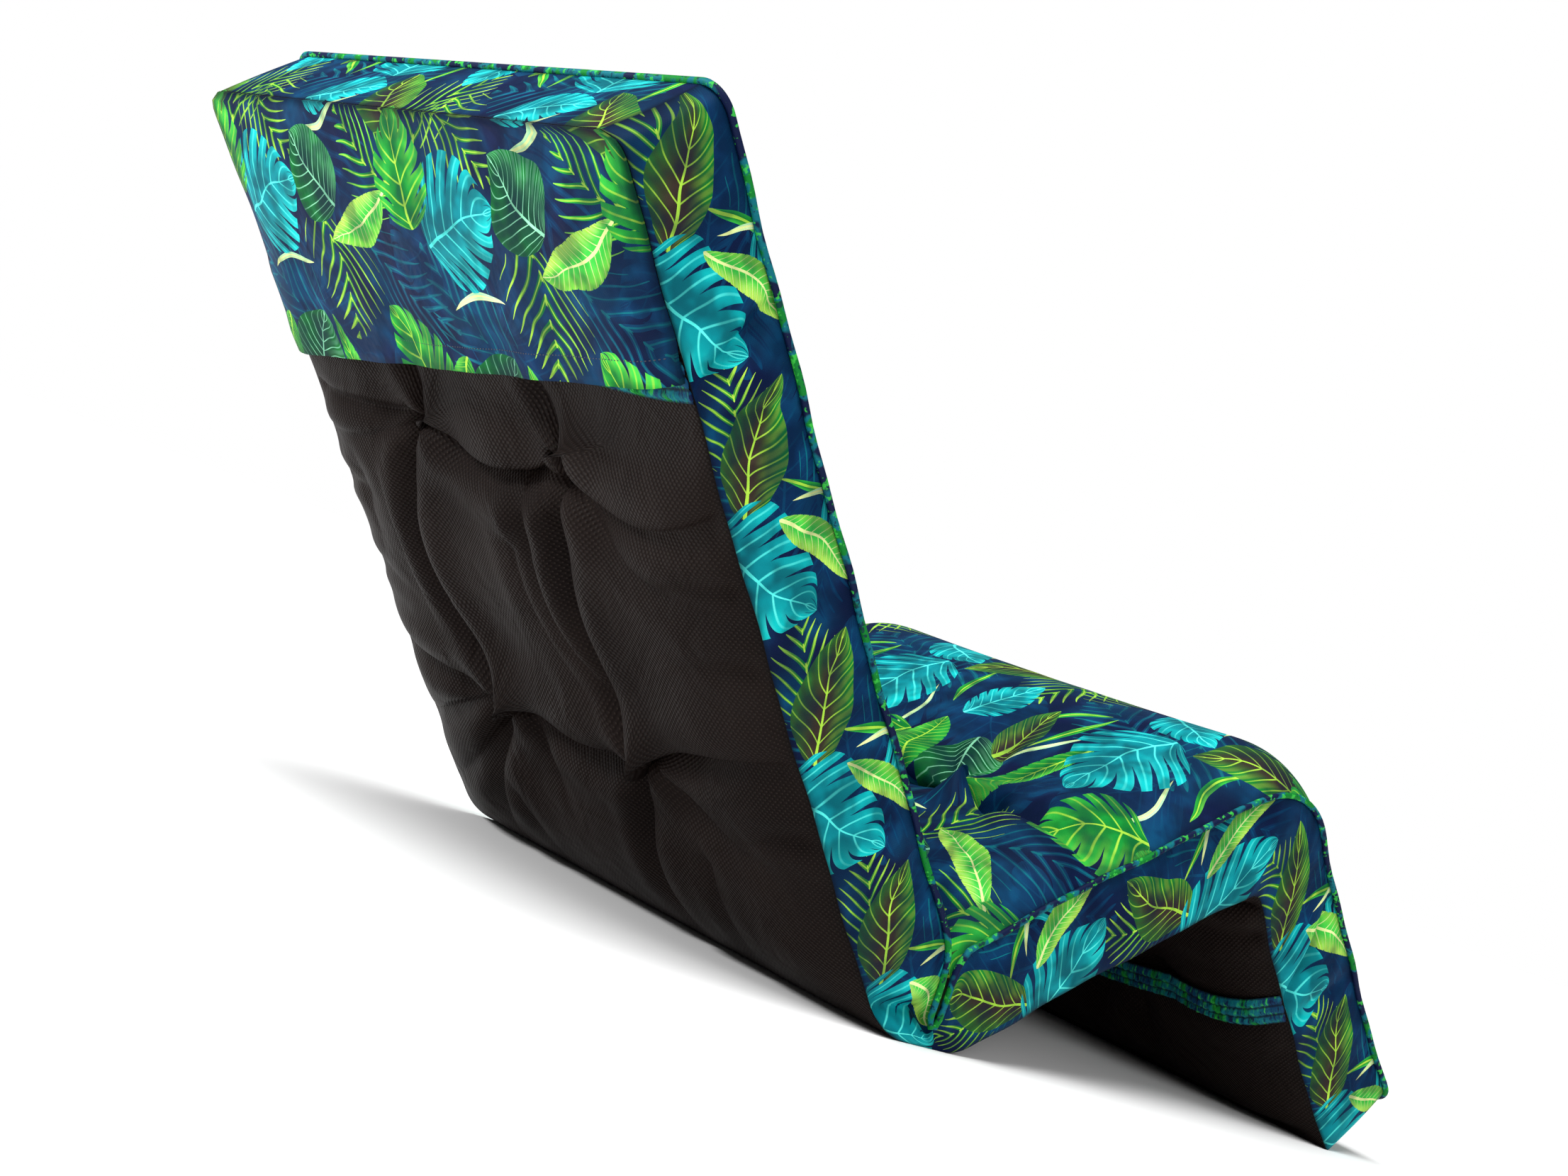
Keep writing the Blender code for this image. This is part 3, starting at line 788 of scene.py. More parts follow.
def foldDepth(x, where, row):
    # depth of one fold, and the sideways lean of the lobe over it, at each place
    start, end, bow, depth, width, lean, atEnd = row
    start, end = np.array(start), np.array(end)
    along = end - start
    across = np.array((-along[1], along[0])) / np.linalg.norm(along)
    control = (start + end) / 2 + across * bow * 2
    best = np.full(len(x), np.inf)
    side, share = np.zeros(len(x)), np.zeros(len(x))
    nearX, nearWhere = np.zeros(len(x)), np.zeros(len(x))
    steps = foldForm["steps"]
    for step in range(steps):
        ends = []
        for t in (step / steps, (step + 1) / steps):
            ends.append(start * (1 - t) ** 2 + control * 2 * t * (1 - t) + end * t ** 2)
        line = ends[1] - ends[0]
        size = float(line @ line)
        t = np.clip(((x - ends[0][0]) * line[0] + (where - ends[0][1]) * line[1]) / size, 0.0, 1.0)
        dx = x - ends[0][0] - t * line[0]
        dw = where - ends[0][1] - t * line[1]
        distance = np.hypot(dx, dw)
        nearer = distance < best
        best = np.where(nearer, distance, best)
        side = np.where(nearer, np.sign(line[0] * dw - line[1] * dx), side)
        share = np.where(nearer, (step + t) / steps, share)
        nearX, nearWhere = np.where(nearer, dx, nearX), np.where(nearer, dw, nearWhere)
    reach = width * (1.0 + lean * side)
    trough = np.exp(-(best / reach) ** foldForm["power"])
    fromShoulder = (best - foldForm["shoulderPlace"] * width) / (foldForm["shoulderWidth"] * width)
    shoulder = foldForm["shoulder"] * np.exp(-fromShoulder ** 2)
    fade = (1.0 - share) + share * atEnd
    span = best / (foldForm["leanPlace"] * width)
    leaning = np.where(side * lean < 0, abs(lean) * foldForm["overhang"], 0.0)
    leaning = leaning * depth * fade * span * np.exp(1.0 - span)
    unit = np.maximum(best, 1e-6)
    deep = foldForm["depth"] * depth * fade * (trough - shoulder)
    return deep, -leaning * nearX / unit, -leaning * nearWhere / unit


def coordinates(data, name, size=3):
    values = np.empty(len(data) * size)
    data.foreach_get(name, values)
    return values.reshape(-1, size)


def refine(piece):
    # subdivide twice and keep the result as the piece's own mesh
    finer = piece.modifiers.new("finer", "SUBSURF")
    finer.levels = finer.render_levels = 2
    shaped = bpy.data.meshes.new_from_object(piece.evaluated_get(bpy.context.evaluated_depsgraph_get()))
    old = piece.data
    piece.modifiers.clear()
    piece.data = shaped
    shaped.name = old.name
    bpy.data.meshes.remove(old)


def legWhere(fromKnee):
    return profile.at(profile.length, profile.legStation(fromKnee))


# creases across the side band: place at the rear seam and at the front seam, depth and width
sideCreases = (
    (foldPlace - 0.070, foldPlace - 0.006, 0.0210, 0.017),
    (foldPlace + 0.020, foldPlace + 0.006, 0.0060, 0.012),
    (legWhere(0.134), legWhere(0.100), 0.0150, 0.009),
    (legWhere(0.152), legWhere(0.180), 0.0070, 0.009),
    (0.184, 0.150, 0.0120, 0.009),
    (0.200, 0.225, 0.0050, 0.009),
    (0.500, 0.525, 0.0040, 0.012),
)
sideBand = {
    "soft": 0.0013,
    "softTurns": (44.0, 97.0),
    "softShare": 0.7,
    "softStart": 1.7,
    "pucker": 0.0005,          # the fine puckers along the seams
    "puckerTurn": 260.0,
    "puckerDrift": (3.0, 31.0),
    "puckerReach": 0.20,
    "creasePower": 1.4,
    "creaseFlare": 0.4,
}
calmEdges = {
    # over how far the folds fade in from each edge; at hip and foot, a stretch without folds first
    "side": 0.014,
    "top": 0.02,
    "hip": (0.06, 0.05),
    "foot": (0.036, 0.02),
}
# how far the painted shade along the pad's seams reaches
seamShadow = 0.0028


def storeSeamShade(data, values):
    # how near each point is to a seam, for the painted shade that darkens the cloth along its seams
    layer = data.attributes.new("seam", "FLOAT", "POINT")
    layer.data.foreach_set("value", values)


def railValues(rail, station):
    # the rail's points, outward directions and directions along it, for many stations at once
    steps = range(profile.stations + 1)
    points = np.array([profile.at(rail, step) for step in steps])
    outs = np.array([profile.outward(rail, step) for step in steps])
    point = np.stack([np.interp(station, steps, points[:, axis]) for axis in (0, 1)], axis=1)
    out = np.stack([np.interp(station, steps, outs[:, axis]) for axis in (0, 1)], axis=1)
    out /= np.linalg.norm(out, axis=1)[:, None]
    along = np.stack([out[:, 1], -out[:, 0]], axis=1) * (1.0 if rail is profile.front else -1.0)
    return point, out, along


def foldFace(face, points, normals, x, across, station, through, where):
    # carve the folds of one face into the points, and press it flat under hood and straps
    chosen = np.nonzero(through < 0.001 if face == "rear" else through > 0.999)[0]
    rail = profile.rear if face == "rear" else profile.front
    point, out, along = railValues(rail, station[chosen])
    spotX, spotWhere = x[chosen], where[chosen]
    depth, shiftX, shiftAlong = (np.zeros(len(chosen)) for number in range(3))
    for row in tuple(folds[face]) + tuple(spokeFolds(face)):
        low = np.minimum(row[0], row[1]) - foldForm["margin"]
        high = np.maximum(row[0], row[1]) + foldForm["margin"]
        near = np.nonzero((spotX > low[0]) & (spotX < high[0])
                          & (spotWhere > low[1]) & (spotWhere < high[1]))[0]
        for total, value in zip((depth, shiftX, shiftAlong), foldDepth(spotX[near], spotWhere[near], row)):
            total[near] += value
    hip, hipFade = calmEdges["hip"]
    foot, footFade = calmEdges["foot"]
    calm = np.clip((1.0 - np.abs(across[chosen])) * pad["width"] / 2 / calmEdges["side"], 0.0, 1.0)
    calm = calm * np.clip((np.abs(spotWhere - foldPlace) - hip) / hipFade, 0.0, 1.0)
    calm *= np.clip(spotWhere / calmEdges["top"], 0.0, 1.0)
    calm *= np.clip((profile.length[-1] - spotWhere - foot) / footFade, 0.0, 1.0)
    points[chosen] -= normals[chosen] * (depth * calm)[:, None]
    points[chosen, 0] += shiftX * calm
    points[chosen, 1:] += along * (shiftAlong * calm)[:, None]
    height = ((points[chosen, 1:] - point) * out).sum(axis=1)
    allowed = np.maximum(height, -filling["deepest"])
    if face == "rear":
        allowed = np.minimum(allowed, roomUnder(across[chosen], station[chosen], spotWhere))
    points[chosen, 1:] += out * (allowed - height)[:, None]


def foldSides(points, across, through, where):
    # creases, soft waves and puckers of the side band
    chosen = np.nonzero((np.abs(across) > 0.999) & (through > 0.001) & (through < 0.999))[0]
    spot, side, share = where[chosen], np.sign(across[chosen]), through[chosen]
    first, second = sideBand["softTurns"]
    drift, driftTurn = sideBand["puckerDrift"]
    reach = sideBand["puckerReach"]
    flare = np.sin(math.pi * share)
    soft = np.sin(spot * first + side)
    soft = soft + sideBand["softShare"] * np.sin(spot * second + sideBand["softStart"])
    pucker = np.sin(spot * sideBand["puckerTurn"] + drift * np.sin(spot * driftTurn))
    atSeam = np.exp(-share / reach) + np.exp(-(1.0 - share) / reach)
    swell = sideBand["soft"] * soft * flare + sideBand["pucker"] * pucker * atSeam * flare
    for atRear, atFront, depth, width in sideCreases:
        centre = atRear + (atFront - atRear) * share
        away = np.abs(spot - centre) / width
        swell -= depth * np.exp(-away ** sideBand["creasePower"]) * flare ** sideBand["creaseFlare"]
    points[chosen, 0] += side * swell


def foldPad(piece):
    data = piece.data
    place = coordinates(data.attributes["place"].data, "vector")
    across, station, through = place[:, 0], place[:, 1], place[:, 2]
    where = np.interp(station, range(profile.stations + 1), profile.length)
    x = across * pad["width"] / 2
    points = coordinates(data.vertices, "co")
    normals = coordinates(data.vertices, "normal")
    for face in ("rear", "front"):
        foldFace(face, points, normals, x, across, station, through, where)
    foldSides(points, across, through, where)
    points[:, 2] = np.maximum(points[:, 2], 0.0)
    data.vertices.foreach_set("co", points.ravel())
    fromSide = (1.0 - np.abs(across)) * pad["width"] / 2
    fromFace = np.minimum(through, 1.0 - through) * pad["thickness"]
    fromEnd = np.minimum(where, profile.length[-1] - where)
    # a point on a seam is at the border of two of these at once
    distances = np.sort(np.stack([fromSide, fromFace, fromEnd]), axis=0)
    # painted shade along the seams: strongest on a seam, fading away from it
    storeSeamShade(data, np.exp(-distances[1] / seamShadow))
    data.update()


# Node trees

def link(tree, socket, value):
    if isinstance(value, bpy.types.NodeSocket):
        tree.links.new(value, socket)
    elif value is not None:
        socket.default_value = value


def mathNode(tree, operation, *values, clamp=False):
    node = tree.nodes.new("ShaderNodeMath")
    node.operation = operation
    node.use_clamp = clamp
    for socket, value in zip(node.inputs, values):
        link(tree, socket, value)
    return node.outputs[0]


def vectorNode(tree, operation, *values):
    node = tree.nodes.new("ShaderNodeVectorMath")
    node.operation = operation
    for socket, value in zip(node.inputs, values):
        link(tree, socket, value)
    return node.outputs[0]


def rangeNode(tree, value, low, high, atLow, atHigh, smoothly=False):
    node = tree.nodes.new("ShaderNodeMapRange")
    node.interpolation_type = "SMOOTHSTEP" if smoothly else "LINEAR"
    for socket, given in zip(node.inputs, (value, low, high, atLow, atHigh)):
        link(tree, socket, given)
    return node.outputs[0]


def mixNode(tree, share, first, second, blend="MIX"):
    node = tree.nodes.new("ShaderNodeMix")
    node.data_type = "RGBA"
    node.blend_type = blend
    link(tree, node.inputs[0], share)
    link(tree, node.inputs[6], first)
    link(tree, node.inputs[7], second)
    return node.outputs[2]


def noiseNode(tree, vector, scale, detail=2.0, roughness=0.5, distortion=0.0):
    node = tree.nodes.new("ShaderNodeTexNoise")
    link(tree, node.inputs["Vector"], vector)
    node.inputs["Scale"].default_value = scale
    node.inputs["Detail"].default_value = detail
    node.inputs["Roughness"].default_value = roughness
    node.inputs["Distortion"].default_value = distortion
    return node.outputs[0]


def clothPlace(tree):
    node = tree.nodes.new("ShaderNodeUVMap")
    node.uv_map = "cloth"
    return node.outputs[0]


def clothMaterial(name):
    material = bpy.data.materials.new(name)
    material.use_nodes = True
    tree = material.node_tree
    shader = tree.nodes["Principled BSDF"]
    return material, tree, shader


def finishCloth(tree, shader, colour, roughness, specular):
    tree.links.new(colour, shader.inputs["Base Color"])
    shader.inputs["Roughness"].default_value = roughness
    shader.inputs["Specular IOR Level"].default_value = specular


def seamShade(tree, most):
    # painted shade: the cloth's colour is darkened where it runs into a seam
    node = tree.nodes.new("ShaderNodeAttribute")
    node.attribute_name = "seam"
    return mathNode(tree, "MULTIPLY", node.outputs["Fac"], most, clamp=True)


def bumpNode(tree, height, strength, distance, normal=None):
    node = tree.nodes.new("ShaderNodeBump")
    node.inputs["Strength"].default_value = strength
    node.inputs["Distance"].default_value = distance
    tree.links.new(height, node.inputs["Height"])
    link(tree, node.inputs["Normal"], normal)
    return node.outputs[0]


def addWeave(tree, shader, pitch, strength, wrinkle):
    # threads at the given pitch over broad wrinkles
    place = clothPlace(tree)
    split = tree.nodes.new("ShaderNodeSeparateXYZ")
    tree.links.new(place, split.inputs[0])
    threads = [mathNode(tree, "SINE", mathNode(tree, "MULTIPLY", axis, math.pi / pitch))
               for axis in split.outputs[:2]]
    height = mathNode(tree, "MULTIPLY", *threads)
    creases = noiseNode(tree, place, 13.0, 3.0, 0.55, 0.8)
    normal = bumpNode(tree, creases, wrinkle, 0.020)
    tree.links.new(bumpNode(tree, height, strength, pitch * 0.5, normal), shader.inputs["Normal"])
    return height


# The printed cloth: leaves drawn by one formula, laid out in tiles as listed

ink = {
    "navy": (0.002, 0.007, 0.038, 1.0),
    "petrol": (0.001, 0.038, 0.100, 1.0),
    "shadow": (0.001, 0.020, 0.070, 1.0),
    "teal": (0.002, 0.125, 0.160, 1.0),
    "deepTurquoise": (0.001, 0.200, 0.240, 1.0),
    "turquoise": (0.002, 0.480, 0.480, 1.0),
    "aqua": (0.080, 0.760, 0.700, 1.0),
    "deepGreen": (0.002, 0.045, 0.022, 1.0),
    "green": (0.003, 0.170, 0.022, 1.0),
    "bright": (0.040, 0.480, 0.050, 1.0),
    "lime": (0.340, 0.620, 0.050, 1.0),
    "cream": (0.680, 0.760, 0.300, 1.0),
    "mint": (0.250, 0.680, 0.420, 1.0),
    "bark": (0.030, 0.020, 0.016, 1.0),
    "brushShade": (0.0, 0.006, 0.026, 1.0),
    "brushLight": (1.0, 1.0, 0.9, 1.0),
    # crease: the colour of the painted shade along the seams and between the strap's ridges
    "crease": (0.0, 0.002, 0.010, 1.0),
}
leafKinds = {
    # veins, how far they sweep, where cuts start and how wide they get, outline, then the inks
    "monstera": (7.0, 0.26, 0.34, 0.42, 0.72, "deepTurquoise", "turquoise", "aqua"),
    "greenMonstera": (6.0, 0.26, 0.42, 0.40, 0.74, "green", "bright", "lime"),
    "turquoiseLeaf": (7.0, 0.24, 0.60, 0.34, 0.82, "deepTurquoise", "turquoise", "aqua"),
    "banana": (15.0, 0.10, 0.90, 0.25, 0.92, "green", "bright", "lime"),
    "goldBanana": (15.0, 0.10, 0.92, 0.20, 0.92, "bright", "lime", "cream"),
    "barkLeaf": (8.0, 0.24, 1.00, 0.00, 0.80, "bark", "green", "lime"),
    "round": (10.0, 0.26, 1.00, 0.00, 0.80, "deepGreen", "green", "mint"),
    "palm": (6.5, 0.62, -1.30, 0.96, 0.72, "green", "lime", "lime"),
    "brightPalm": (6.5, 0.62, -1.20, 0.95, 0.72, "green", "bright", "lime"),
    "tealPalm": (6.5, 0.60, -1.10, 0.93, 0.72, "petrol", "teal", "teal"),
    "shadowLeaf": (7.0, 0.26, 0.40, 0.35, 0.75, "shadow", "petrol", "petrol"),
    "shadowPalm": (6.5, 0.60, -1.00, 0.90, 0.72, "shadow", "petrol", "petrol"),
    "blade": (1.0, 0.00, 1.00, 0.00, 1.00, "green", "bright", "lime"),
    "creamBlade": (1.0, 0.00, 1.00, 0.00, 1.00, "mint", "cream", "cream"),
}
# kind, place across and up in the tile, turn in degrees, length, width, bend
wideTile = (0.300, 0.400)
wideLeaves = (
    ("shadowLeaf", 0.060, 0.120, 40, 0.130, 0.110, 0.006),
    ("shadowPalm", 0.200, 0.330, 300, 0.140, 0.130, 0.010),
    ("shadowLeaf", 0.240, 0.150, 110, 0.120, 0.110, 0.000),
    ("shadowPalm", 0.110, 0.240, 80, 0.130, 0.110, 0.008),
    ("shadowLeaf", 0.020, 0.300, 200, 0.120, 0.100, 0.000),
    ("shadowLeaf", 0.150, 0.200, 320, 0.120, 0.100, 0.004),
    ("tealPalm", 0.150, 0.060, 200, 0.120, 0.110, 0.012),
    ("tealPalm", 0.060, 0.255, 130, 0.130, 0.110, 0.010),
    ("tealPalm", 0.235, 0.060, 60, 0.110, 0.100, -0.010),
    ("tealPalm", 0.285, 0.265, 335, 0.120, 0.090, -0.010),
    ("palm", 0.165, 0.262, 262, 0.110, 0.110, 0.010),
    ("palm", 0.045, 0.030, 78, 0.110, 0.100, -0.008),
    ("brightPalm", 0.260, 0.370, 150, 0.105, 0.090, 0.010),
    ("palm", 0.100, 0.392, 320, 0.100, 0.090, -0.010),
    ("blade", 0.128, 0.090, 295, 0.085, 0.009, 0.006),
    ("blade", 0.112, 0.075, 318, 0.070, 0.008, -0.005),
    ("blade", 0.285, 0.075, 80, 0.080, 0.009, 0.008),
    ("creamBlade", 0.120, 0.120, 322, 0.090, 0.006, 0.008),
    ("creamBlade", 0.262, 0.142, 262, 0.095, 0.006, 0.010),
    ("creamBlade", 0.080, 0.262, 8, 0.080, 0.006, 0.007),
    ("creamBlade", 0.190, 0.395, 28, 0.085, 0.006, -0.008),
    ("banana", 0.150, 0.165, 113, 0.130, 0.034, 0.006),
    ("round", 0.085, 0.185, 62, 0.092, 0.084, 0.004),
    ("barkLeaf", 0.090, 0.110, 275, 0.078, 0.038, 0.004),
    ("greenMonstera", 0.262, 0.205, 128, 0.105, 0.092, 0.004),
    ("monstera", 0.208, 0.112, 96, 0.122, 0.116, 0.006),
    ("turquoiseLeaf", 0.028, 0.085, 284, 0.085, 0.056, 0.006),
    ("banana", 0.024, 0.178, 250, 0.085, 0.044, -0.006),
    ("monstera", 0.085, 0.322, 22, 0.112, 0.104, 0.006),
    ("goldBanana", 0.228, 0.318, 205, 0.112, 0.036, 0.010),
    ("round", 0.168, 0.350, 140, 0.082, 0.074, 0.004),
    ("barkLeaf", 0.280, 0.020, 135, 0.105, 0.056, 0.006),
    ("turquoiseLeaf", 0.200, 0.018, 20, 0.090, 0.052, 0.006),
    ("greenMonstera", 0.010, 0.360, 100, 0.090, 0.078, 0.004),
)
# the side band is cut so that the same few leaves come round again
bandTile = (0.110, 0.198)
bandLeaves = (
    ("shadowLeaf", 0.060, 0.150, 70, 0.110, 0.080, 0.004),
    ("shadowPalm", 0.060, 0.055, 250, 0.100, 0.090, 0.004),
    ("tealPalm", 0.098, 0.120, 290, 0.080, 0.070, 0.004),
    ("blade", 0.072, 0.105, 320, 0.075, 0.008, 0.006),
    ("creamBlade", 0.080, 0.098, 340, 0.060, 0.005, 0.006),
    ("palm", 0.030, 0.185, 84, 0.085, 0.078, 0.004),
    ("barkLeaf", 0.041, 0.155, 56, 0.102, 0.052, 0.006),
    ("monstera", 0.016, 0.068, 306, 0.112, 0.098, -0.006),
    ("goldBanana", 0.062, 0.066, 304, 0.084, 0.026, 0.008),
)


def leafSockets(group):
    kinds = {"Place": "NodeSocketVector", "Tile": "NodeSocketVector", "Centre": "NodeSocketVector"}
    for name in ("Ground", "Inner", "Outer", "Vein"):
        kinds[name] = "NodeSocketColor"
    for name in ("Turn", "Length", "Width", "Bend", "Veins", "Sweep",
                 "Cut start", "Cut", "Outline", "Straight"):
        kinds[name] = "NodeSocketFloat"
    for name, kind in kinds.items():
        group.interface.new_socket(name, in_out="INPUT", socket_type=kind)
    group.interface.new_socket("Colour", in_out="OUTPUT", socket_type="NodeSocketColor")


def leafGroup():
    # one leaf over the ground: Length and Width in metres, the rest as in the table of kinds
    group = bpy.data.node_groups.new("leafMotif", "ShaderNodeTree")
    leafSockets(group)
    maths = partial(mathNode, group)
    vectors = partial(vectorNode, group)
    ranged = partial(rangeNode, group)
    mixed = partial(mixNode, group)
    given = group.nodes.new("NodeGroupInput").outputs
    result = group.nodes.new("NodeGroupOutput")
    half = vectors("MULTIPLY", given["Tile"], (0.5, 0.5, 0.5))
    back = vectors("MULTIPLY", given["Tile"], (-0.5, -0.5, -0.5))
    # a trace of the ground's colour makes the renderer draw the leaves one after the other
    placed = vectors("MULTIPLY_ADD", given["Ground"], (1e-7, 1e-7, 1e-7), given["Place"])
    apart = vectors("WRAP", vectors("SUBTRACT", placed, given["Centre"]), half, back)
    turned = group.nodes.new("ShaderNodeVectorRotate")
    turned.rotation_type = "Z_AXIS"
    group.links.new(apart, turned.inputs["Vector"])
    group.links.new(maths("MULTIPLY", given["Turn"], -1.0), turned.inputs["Angle"])
    split = group.nodes.new("ShaderNodeSeparateXYZ")
    group.links.new(turned.outputs[0], split.inputs[0])
    # along the midrib from 0 to 1, and away from it as a share of the leaf's half width there
    along = maths("ADD", maths("DIVIDE", split.outputs[0], given["Length"]), 0.5, clamp=True)
    arch = maths("SINE", maths("MULTIPLY", along, math.pi))
    offset = maths("SUBTRACT", split.outputs[1], maths("MULTIPLY", arch, given["Bend"]))
    away = maths("ABSOLUTE", offset)
    swell = maths("MULTIPLY", maths("POWER", along, given["Outline"]), math.pi)
    swell = maths("POWER", maths("SINE", swell), 0.8)
    edge = maths("MULTIPLY", maths("MULTIPLY", swell, given["Width"]), 0.5)
    edge = maths("SUBTRACT", edge, 0.0001)
    out = maths("DIVIDE", away, maths("MAXIMUM", edge, 0.0000001))
    # the veins, and the cuts half way between them
    reach = maths("DIVIDE", maths("MULTIPLY", away, 2.0), given["Width"])
    reach = ranged(given["Straight"], 0.0, 1.0, out, reach)
    run = maths("SUBTRACT", along, maths("MULTIPLY", reach, given["Sweep"]))
    run = maths("ADD", maths("MULTIPLY", run, given["Veins"]), 0.3)
    beat = maths("ABSOLUTE", maths("SUBTRACT", maths("FRACT", run), 0.5))
    beat = maths("MULTIPLY", beat, 2.0)
    gap = ranged(out, given["Cut start"], 1.0, 0.0, given["Cut"])
    kept = maths("LESS_THAN", beat, maths("SUBTRACT", 1.0, gap))
    inside = maths("MULTIPLY", maths("LESS_THAN", out, 1.0), kept)
    # the inks: from the midrib to the edge, one half darker, a gloss on the other, then the veins
    depth = maths("ADD", maths("MULTIPLY", out, 0.75), maths("MULTIPLY", along, 0.45))
    colour = mixed(ranged(depth, 0.25, 1.0, 0.0, 1.0, True), given["Inner"], given["Outer"])
    colour = mixed(ranged(beat, 0.15, 1.0, 0.0, 0.36, True), colour, given["Inner"])
    underside = maths("MULTIPLY", maths("GREATER_THAN", offset, 0.0), 0.42)
    colour = mixed(underside, colour, given["Inner"])
    gloss = maths("MULTIPLY", ranged(beat, 0.35, 0.80, 0.0, 0.20, True),
                  ranged(out, 0.15, 0.75, 0.0, 1.0, True))
    gloss = maths("MULTIPLY", gloss, maths("LESS_THAN", offset, 0.0))
    colour = mixed(gloss, colour, given["Vein"])
    vein = maths("MULTIPLY", ranged(beat, 0.05, 0.17, 0.85, 0.0, True),
                 ranged(out, 0.2, 1.0, 1.0, 0.45))
    vein = maths("MULTIPLY", vein, maths("GREATER_THAN", given["Veins"], 2.0))
    colour = mixed(vein, colour, given["Vein"])
    rib = maths("MULTIPLY", maths("SUBTRACT", 1.25, along), 0.0011)
    colour = mixed(maths("LESS_THAN", away, rib), colour, given["Vein"])
    group.links.new(mixed(inside, given["Ground"], colour), result.inputs[0])
    return group


leafMotif = leafGroup()


def printedCloth(name, tile, leaves):
    material, tree, shader = clothMaterial(name)
    place = clothPlace(tree)
    # the hand of the painter: every outline wanders by a few millimetres
    wobble = tree.nodes.new("ShaderNodeTexNoise")
    tree.links.new(place, wobble.inputs["Vector"])
    wobble.inputs["Scale"].default_value = 24.0
    wobble.inputs["Detail"].default_value = 0.5
    drift = vectorNode(tree, "SUBTRACT", wobble.outputs["Color"], (0.5, 0.5, 0.5))
    drift = vectorNode(tree, "MULTIPLY", drift, (0.014, 0.014, 0.0))
    drawn = vectorNode(tree, "ADD", place, drift)
    blotches = noiseNode(tree, place, 16.0, 2.0)
    share = rangeNode(tree, blotches, 0.38, 0.64, 0.0, 1.0, True)
    colour = mixNode(tree, share, ink["navy"], ink["petrol"])
    for kind, across, up, turn, length, width, bend in leaves:
        veins, sweep, cutStart, cut, outline, inner, outer, vein = leafKinds[kind]
        node = tree.nodes.new("ShaderNodeGroup")
        node.node_tree = leafMotif
        values = {
            "Place": drawn, "Tile": (*tile, 10.0), "Centre": (across, up, 0.0), "Ground": colour,
            "Inner": ink[inner], "Outer": ink[outer], "Vein": ink[vein], "Turn": math.radians(turn),
            "Length": length, "Width": width, "Bend": bend, "Veins": veins, "Sweep": sweep,
            "Cut start": cutStart, "Cut": cut, "Outline": outline,
            "Straight": 1.0 if cutStart < 0.0 else 0.0,
        }
        for socket, value in values.items():
            link(tree, node.inputs[socket], value)
        colour = node.outputs[0]
    # light and shade laid over the leaves by the brush
    shade = noiseNode(tree, place, 34.0, 2.0)
    share = rangeNode(tree, shade, 0.42, 0.62, 0.0, 0.55, True)
    colour = mixNode(tree, share, colour, ink["brushShade"])
    share = rangeNode(tree, shade, 0.44, 0.34, 0.0, 0.45, True)
    colour = mixNode(tree, share, colour, ink["brushLight"], "SOFT_LIGHT")
    # painted shade: the print is darkened towards its seams
    colour = mixNode(tree, seamShade(tree, 0.75), colour, ink["crease"])
    finishCloth(tree, shader, colour, 0.58, 0.05)
    addWeave(tree, shader, 0.0009, 0.10, 0.20)
    return material


# The other finishes

weave = {
    "dark": (0.0060, 0.0038, 0.0033, 1.0),
    "light": (0.0100, 0.0066, 0.0057, 1.0),
    # points: the colour of the painted highlight on the weave's open points
    "points": (0.034, 0.025, 0.021, 1.0),
    # seam: the colour of the painted shade along the seams
    "seam": (0.002, 0.002, 0.002, 1.0),
}


def darkWeave():
    # a coarse brown-black weave whose open points get a painted highlight, a lighter colour for the light
    # they catch
    material, tree, shader = clothMaterial("darkWeave")
    height = addWeave(tree, shader, 0.0022, 0.45, 0.50)
    # painted highlight on the open points of the weave
    points = rangeNode(tree, height, 0.55, 0.95, 0.0, 0.6, True)
    cloud = noiseNode(tree, clothPlace(tree), 9.0, 3.0)
    share = rangeNode(tree, cloud, 0.35, 0.65, 0.0, 1.0)
    colour = mixNode(tree, share, weave["dark"], weave["light"])
    colour = mixNode(tree, points, colour, weave["points"])
    # painted shade: the weave is darkened towards its seams
    colour = mixNode(tree, seamShade(tree, 0.6), colour, weave["seam"])
    finishCloth(tree, shader, colour, 0.45, 0.03)
    return material


def ruchedCloth():
    # print drawn together on elastic: short streaks across the strap, with painted shade between its ridges
    material, tree, shader = clothMaterial("ruchedCloth")
    split = tree.nodes.new("ShaderNodeSeparateXYZ")
    tree.links.new(clothPlace(tree), split.inputs[0])
    streaky = tree.nodes.new("ShaderNodeCombineXYZ")
    tree.links.new(mathNode(tree, "MULTIPLY", split.outputs[0], 0.35), streaky.inputs[0])
    tree.links.new(split.outputs[1], streaky.inputs[1])
    patches = noiseNode(tree, streaky.outputs[0], 26.0, 3.0, 0.6)
    fine = noiseNode(tree, streaky.outputs[0], 210.0, 3.0, 0.7)
    colour = mixNode(tree, rangeNode(tree, patches, 0.44, 0.50, 0.0, 1.0), ink["petrol"], ink["teal"])
    colour = mixNode(tree, rangeNode(tree, patches, 0.54, 0.60, 0.0, 1.0), colour, ink["green"])
    colour = mixNode(tree, rangeNode(tree, fine, 0.54, 0.66, 0.0, 0.9), colour, ink["bright"])
    colour = mixNode(tree, rangeNode(tree, fine, 0.38, 0.46, 1.0, 0.0), colour, ink["navy"])
    # painted shade in the grooves between the strap's ridges
    turn = 2.0 * math.pi * straps["ridges"] / straps["width"]
    rows = mathNode(tree, "COSINE", mathNode(tree, "MULTIPLY", split.outputs[0], turn))
    colour = mixNode(tree, rangeNode(tree, rows, -1.0, -0.4, 0.85, 0.0), colour, ink["crease"])
    finishCloth(tree, shader, colour, 0.58, 0.10)
    tree.links.new(bumpNode(tree, fine, 0.5, 0.0010), shader.inputs["Normal"])
    return material


